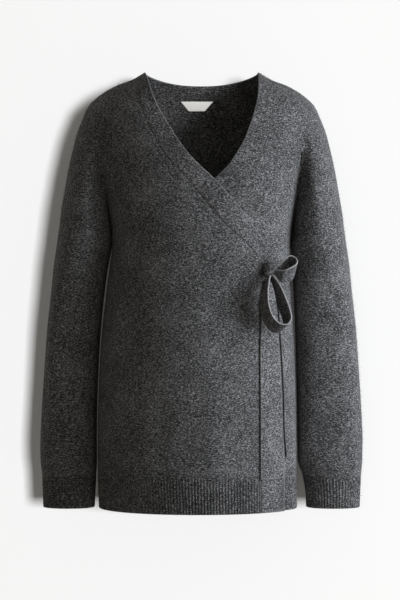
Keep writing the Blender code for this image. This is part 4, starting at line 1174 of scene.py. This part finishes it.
def knit(name, dark, middle, light, painted_highlight, painted_highlight_share):
    """Brushed melange knit: dark and light fibres in short level streaks, soft sheen, and a painted highlight along
    free edges
    """
    made, tree, shader = new_material(name, 0.92, 0.12)
    place = add(tree, "ShaderNodeTexCoord").outputs["Object"]
    streak_place = add(tree, "ShaderNodeMapping", {"Vector": place, "Scale": (290.0, 290.0, 780.0)})
    streaks = add(tree, "ShaderNodeTexNoise",
                  {"Vector": streak_place.outputs["Vector"], "Scale": 1.0, "Detail": 3.0, "Roughness": 0.65})
    fleck_place = add(tree, "ShaderNodeMapping", {"Vector": place, "Scale": (620.0, 620.0, 1100.0)})
    flecks = add(tree, "ShaderNodeTexNoise",
                 {"Vector": fleck_place.outputs["Vector"], "Scale": 1.0, "Detail": 2.0, "Roughness": 0.6})
    cloud = add(tree, "ShaderNodeTexNoise", {"Vector": place, "Scale": 22.0, "Detail": 2.0})
    mixed = add(tree, "ShaderNodeMix", {"Factor": 0.45, "A": streaks.outputs["Fac"], "B": flecks.outputs["Fac"]})
    mottled = add(tree, "ShaderNodeMix", {"Factor": 0.07, "A": mixed.outputs["Result"], "B": cloud.outputs["Fac"]})
    base = ramp(tree, mottled.outputs["Result"],
                [(0.39, colour(dark)), (0.50, colour(middle)), (0.62, colour(light))])
    # Painted highlight: free edges are mixed towards a lighter colour, standing in for light caught by the rolled
    # edges
    edge = add(tree, "ShaderNodeAttribute", attribute_name="free_edge").outputs["Fac"]
    share = add(tree, "ShaderNodeMath", {0: edge, 1: painted_highlight_share}, operation="MULTIPLY").outputs["Value"]
    lit = add(tree, "ShaderNodeMix", {"Factor": share, "A": base, "B": colour(painted_highlight)}, data_type="RGBA")
    tree.links.new(lit.outputs["Result"], shader.inputs["Base Color"])
    wool = add(tree, "ShaderNodeTexNoise", {"Vector": place, "Scale": 900.0, "Detail": 3.0, "Roughness": 0.7})
    flat = add(tree, "ShaderNodeUVMap", uv_map="UVMap").outputs["UV"]
    rows = add(tree, "ShaderNodeMapping", {"Vector": flat, "Scale": KNIT_LINES})
    split = add(tree, "ShaderNodeSeparateXYZ", {"Vector": rows.outputs["Vector"]})
    wales = add(tree, "ShaderNodeMath", {0: split.outputs["X"]}, operation="SINE")
    courses = add(tree, "ShaderNodeMath", {0: split.outputs["Y"]}, operation="SINE")
    stitches = add(tree, "ShaderNodeMath", {0: wales.outputs["Value"], 1: courses.outputs["Value"]}, operation="ADD")
    height = add(tree, "ShaderNodeMath", {0: stitches.outputs["Value"], 1: 0.18, 2: wool.outputs["Fac"]},
                 operation="MULTIPLY_ADD")
    bump = add(tree, "ShaderNodeBump", {"Strength": 0.55, "Distance": 0.0009, "Height": height.outputs["Value"]})
    tree.links.new(bump.outputs["Normal"], shader.inputs["Normal"])
    shader.inputs["Sheen Weight"].default_value = 0.16
    shader.inputs["Sheen Roughness"].default_value = 0.45
    shader.inputs["Sheen Tint"].default_value = colour("c8cacf")
    return made


def woven_tape():
    """Smooth white woven label tape, bare"""
    made, tree, shader = new_material("label_tape", 0.55, 0.3)
    flat = add(tree, "ShaderNodeUVMap", uv_map="UVMap").outputs["UV"]
    weave = add(tree, "ShaderNodeTexChecker", {"Vector": flat, "Scale": 3200.0,
                                               "Color1": colour("f4f3f0"), "Color2": colour("e4e3df")})
    tree.links.new(weave.outputs["Color"], shader.inputs["Base Color"])
    bump = add(tree, "ShaderNodeBump", {"Strength": 0.3, "Distance": 0.0002, "Height": weave.outputs["Fac"]})
    tree.links.new(bump.outputs["Normal"], shader.inputs["Normal"])
    return made


def plain(name, code, roughness=0.9):
    """Matt painted studio surface"""
    made, tree, shader = new_material(name, roughness, 0.1)
    shader.inputs["Base Color"].default_value = colour(code)
    return made


def fuzz_tree(hair_material):
    """Short bent fibres that stand up from a surface at random"""
    tree = bpy.data.node_groups.new("fuzz", "GeometryNodeTree")
    sockets = (("Geometry", "NodeSocketGeometry"), ("Density", "NodeSocketFloat"),
               ("Length", "NodeSocketFloat"), ("Width", "NodeSocketFloat"), ("Seed", "NodeSocketInt"))
    for name, kind in sockets:
        tree.interface.new_socket(name, in_out="INPUT", socket_type=kind)
    tree.interface.new_socket("Geometry", in_out="OUTPUT", socket_type="NodeSocketGeometry")
    given = add(tree, "NodeGroupInput").outputs
    roots = add(tree, "GeometryNodeDistributePointsOnFaces",
                {"Mesh": given["Geometry"], "Density": given["Density"], "Seed": given["Seed"]})
    strip = add(tree, "GeometryNodeMeshGrid",
                {"Size X": given["Width"], "Size Y": given["Length"], "Vertices X": 2, "Vertices Y": 3})
    place = add(tree, "ShaderNodeSeparateXYZ", {"Vector": add(tree, "GeometryNodeInputPosition").outputs[0]})
    half = add(tree, "ShaderNodeMath", {0: given["Length"], 1: 0.5}, operation="MULTIPLY")
    up = add(tree, "ShaderNodeMath", {0: place.outputs["Y"], 1: half.outputs["Value"]}, operation="ADD")
    share = add(tree, "ShaderNodeMath", {0: up.outputs["Value"], 1: given["Length"]}, operation="DIVIDE")
    square = add(tree, "ShaderNodeMath", {0: share.outputs["Value"], 1: up.outputs["Value"]}, operation="MULTIPLY")
    lean = add(tree, "ShaderNodeMath", {0: square.outputs["Value"], 1: 0.6}, operation="MULTIPLY")
    narrow = add(tree, "ShaderNodeMath", {0: share.outputs["Value"], 1: -0.75, 2: 1.0}, operation="MULTIPLY_ADD")
    thin = add(tree, "ShaderNodeMath", {0: place.outputs["X"], 1: narrow.outputs["Value"]}, operation="MULTIPLY")
    stood = add(tree, "ShaderNodeCombineXYZ",
                {"X": thin.outputs["Value"], "Y": lean.outputs["Value"], "Z": up.outputs["Value"]})
    fibre = add(tree, "GeometryNodeSetPosition",
                {"Geometry": strip.outputs["Mesh"], "Position": stood.outputs["Vector"]})
    tip = add(tree, "FunctionNodeRandomValue",
              {"Min": (-1.15, -1.15, -3.14), "Max": (1.15, 1.15, 3.14), "Seed": given["Seed"]},
              data_type="FLOAT_VECTOR")
    turn = add(tree, "FunctionNodeEulerToRotation", {"Euler": tip.outputs["Value"]})
    stand = add(tree, "FunctionNodeRotateRotation",
                {"Rotation": roots.outputs["Rotation"], "Rotate By": turn.outputs["Rotation"]},
                rotation_space="LOCAL")
    size = add(tree, "FunctionNodeRandomValue", {"Seed": given["Seed"]}, data_type="FLOAT")
    size.inputs[2].default_value = 0.5
    size.inputs[3].default_value = 1.35
    fibres = add(tree, "GeometryNodeInstanceOnPoints",
                 {"Points": roots.outputs["Points"], "Instance": fibre.outputs["Geometry"],
                  "Rotation": stand.outputs["Rotation"], "Scale": size.outputs[1]})
    real = add(tree, "GeometryNodeRealizeInstances", {"Geometry": fibres.outputs["Instances"]})
    finished = add(tree, "GeometryNodeSetMaterial",
                   {"Geometry": real.outputs["Geometry"], "Material": hair_material})
    add(tree, "NodeGroupOutput", {"Geometry": finished.outputs["Geometry"]})
    return tree


def fuzz(tree, name, grid, closed, seed, density):
    """Fibres over a grid, as a plain mesh"""
    rows, cols = grid.shape[:2]
    faces = []
    for i in range(rows - 1):
        for j in range(cols if closed else cols - 1):
            k = (j + 1) % cols
            faces.append((i * cols + j, i * cols + k, (i + 1) * cols + k, (i + 1) * cols + j))
    base = bpy.data.meshes.new(name)
    base.from_pydata(grid.reshape(-1, 3).tolist(), [], faces)
    made = bpy.data.objects.new(name, base)
    bpy.context.scene.collection.objects.link(made)
    values = {"Density": density, "Length": FUZZ_LENGTH, "Width": FUZZ_WIDTH, "Seed": seed}
    grow_with(made, "fuzz", tree, values)
    return made


def camera():
    data = bpy.data.cameras.new("camera")
    data.sensor_fit = "VERTICAL"
    data.sensor_height = 24.0
    data.lens = 72.15
    made = bpy.data.objects.new("camera", data)
    made.location = (-0.0024, -2.85, -0.359)
    made.rotation_euler = (math.radians(90), 0, 0)
    bpy.context.scene.collection.objects.link(made)
    bpy.context.scene.camera = made


def area_light(name, place, target, size, power, tint, lit):
    """Soft light that shines on one group of things"""
    data = bpy.data.lights.new(name, "AREA")
    data.shape = "RECTANGLE"
    data.size, data.size_y = size
    data.energy = power
    data.color = colour(tint)[:3]
    made = bpy.data.objects.new(name, data)
    made.location = place
    made.rotation_euler = (Vector(target) - Vector(place)).to_track_quat("-Z", "Y").to_euler()
    bpy.context.scene.collection.objects.link(made)
    made.light_linking.receiver_collection = lit


def plane(name, corners, finish, group):
    """Flat studio surface that neither lights nor shades the garment"""
    mesh = bpy.data.meshes.new(name)
    mesh.from_pydata(corners, [], [tuple(range(len(corners)))])
    mesh.materials.append(finish)
    made = bpy.data.objects.new(name, mesh)
    bpy.context.scene.collection.objects.link(made)
    group.objects.link(made)
    made.visible_diffuse = False
    made.visible_glossy = False
    made.visible_shadow = False


def studio(lit):
    """Pale wall just behind the garment, seen through from its back, with a pale floor"""
    room = bpy.data.collections.new("room")
    ground_room = bpy.data.collections.new("ground_room")
    wall = plain("wall_paint", "e7e8e9")
    tree = wall.node_tree
    shader = tree.nodes["Principled BSDF"]
    clear = add(tree, "ShaderNodeBsdfTransparent")
    side = add(tree, "ShaderNodeNewGeometry").outputs["Backfacing"]
    both = add(tree, "ShaderNodeMixShader", {0: side, 1: shader.outputs["BSDF"], 2: clear.outputs["BSDF"]})
    tree.links.new(both.outputs["Shader"], tree.nodes["Material Output"].inputs["Surface"])
    x, y, low, high = 2.2, 0.140, -1.10, 1.6
    plane("backdrop", [(-x, y, low), (x, y, low), (x, y, high), (-x, y, high)], wall, room)
    plane("floor", [(-3, -3, low), (3, -3, low), (3, 3, low), (-3, 3, low)], plain("floor_paint", "e8e8e7"), ground_room)
    centre = (0.0, 0.0, -0.34)
    area_light("key", (1.65, -0.953, 0.45), centre, (1.2, 1.2), 8, "f6f9ff", lit["garment"])
    area_light("side", (1.879, -0.684, -0.34), centre, (1.2, 1.2), 42, "f6f9ff", lit["garment"])
    area_light("fill", (0.9, -2.6, 0.0), centre, (1.0, 1.0), 3.5, "fffaf2", lit["garment"])
    area_light("back", (1.4, 2.4, 0.5), centre, (1.2, 1.2), 26, "ffffff", lit["garment"])
    area_light("back_fill", (-1.9, 1.3, 0.3), centre, (1.2, 1.2), 7, "ffffff", lit["garment"])
    area_light("neck_light", (1.6, -2.0, 0.55), (0.0, 0.06, -0.06), (0.6, 0.6), 22, "ffffff", lit["neck"])
    area_light("label_light", (0.1, -2.4, 0.3), (0.0, 0.08, -0.05), (0.5, 0.5), 42, "ffffff", lit["label"])
    area_light("tie_light", (1.1, -2.2, 0.2), (0.10, -0.12, -0.38), (0.6, 0.6), 7, "f8faff", lit["tie"])
    area_light("sleeve_light", (0.1, -2.6, -0.3), (0.19, 0.0, -0.4), (0.8, 0.8), 5, "f8faff", lit["sleeve"])
    area_light("wall_light", (1.85, -8.0, -0.30), (0.0, y, -0.36), (1.1, 1.1), 700, "ffffff", room)
    area_light("wall_fill", (-0.6, -8.0, 0.2), (0.0, y, -0.36), (1.6, 1.6), 28, "ffffff", room)
    area_light("floor_light", (0.0, -1.0, 3.0), (0.0, 0.0, low), (2.5, 2.5), 150, "ffffff", ground_room)
    world = bpy.data.worlds.new("studio")
    bpy.context.scene.world = world
    world.use_nodes = True
    tree = world.node_tree
    ground = tree.nodes["Background"]
    ground.inputs["Color"].default_value = colour("fff7ea")
    ground.inputs["Strength"].default_value = 0.165
    shown = add(tree, "ShaderNodeBackground", {"Color": colour("f9f9f9"), "Strength": 1.0})
    seen = add(tree, "ShaderNodeLightPath").outputs["Is Camera Ray"]
    both = add(tree, "ShaderNodeMixShader",
               {0: seen, 1: ground.outputs["Background"], 2: shown.outputs["Background"]})
    tree.links.new(both.outputs["Shader"], tree.nodes["World Output"].inputs["Surface"])


def main():
    camera()
    lit = {name: bpy.data.collections.new(name) for name in LIT_GROUPS}
    studio(lit)
    # Fourth colour and the share after it: painted highlight along free edges, strongest on the knot and loops
    cloth = knit("melange_knit", "1c1c1c", "4b4c4d", "b4b5b8", "a5a6a9", 0.26)
    # Darker copy of the same knit for the hem ribs and cuffs: painted shade at the bottom of the garment
    shaded_rib_cloth = knit("melange_rib", "181818", "434444", "a8a9ac", "6a6b6d", 0.12)
    tie_cloth = knit("melange_tie", "1c1c1c", "4d4e4f", "b8b9bc", "d4d5d8", 0.50)
    tape = woven_tape()
    fibres = knit("loose_fibres", "3c3c3d", "6c6d6f", "a9aaad", "a5a6a9", 0.0)
    pieces = {name: made + (cloth, "knit") for name, made in cloth_panels().items()}
    raise_ribs = rib_tree(shaded_rib_cloth)
    ribs = {
        "back_hem_rib": hem_rib("back_hem_rib", "back", back_start, 1, False, raise_ribs),
        "right_front_hem_rib": hem_rib("right_front_hem_rib", "front", lambda z: band_line(-1, z), -1, False, raise_ribs),
        "left_front_hem_rib": hem_rib("left_front_hem_rib", "front", lambda z: band_line(1, z), 1, True, raise_ribs),
        "right_cuff": cuff("right_cuff", -1, raise_ribs),
        "left_cuff": cuff("left_cuff", 1, raise_ribs),
    }
    pieces.update({name: made + (shaded_rib_cloth, "rib_knit") for name, made in ribs.items()})
    ties = {
        "tie_knot": tie_knot(),
        "tie_upper_loop": tie_loop("tie_upper_loop", UPPER_LOOP, UPPER_LOOP_ACROSS, 110),
        "tie_lower_loop": tie_loop("tie_lower_loop", LOWER_LOOP, LOWER_LOOP_ACROSS, 140),
        "tie_front_tail": tie_tail("tie_front_tail", FRONT_TAIL, 90, 0.0016),
        "tie_back_tail": tie_tail("tie_back_tail", BACK_TAIL, 80, 0.0012),
    }
    pieces.update({name: made + (cloth if name.endswith("tail") else tie_cloth, "knit")
                   for name, made in ties.items()})
    pieces["neck_label"] = neck_label() + (tape, "label_cloth")
    tree = fuzz_tree(fibres)
    for seed, (name, (piece, grid, finish, slot)) in enumerate(pieces.items()):
        if not piece.data.materials:
            piece.data.materials.append(finish)
        for group, members in LIT_GROUPS.items():
            if name in members or group == "garment":
                lit[group].objects.link(piece)
        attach(piece, "root")
        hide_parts(name)
        closed = name.endswith("sleeve") or name.endswith("cuff")
        if name != "neck_label":
            hairs = fuzz(tree, name + "_fuzz", grid, closed or name == "tie_knot", seed, FUZZ_DENSITY)
            lit["garment"].objects.link(hairs)
            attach(hairs, "root")


bpy.context.scene.view_settings.view_transform = "Standard"
main()
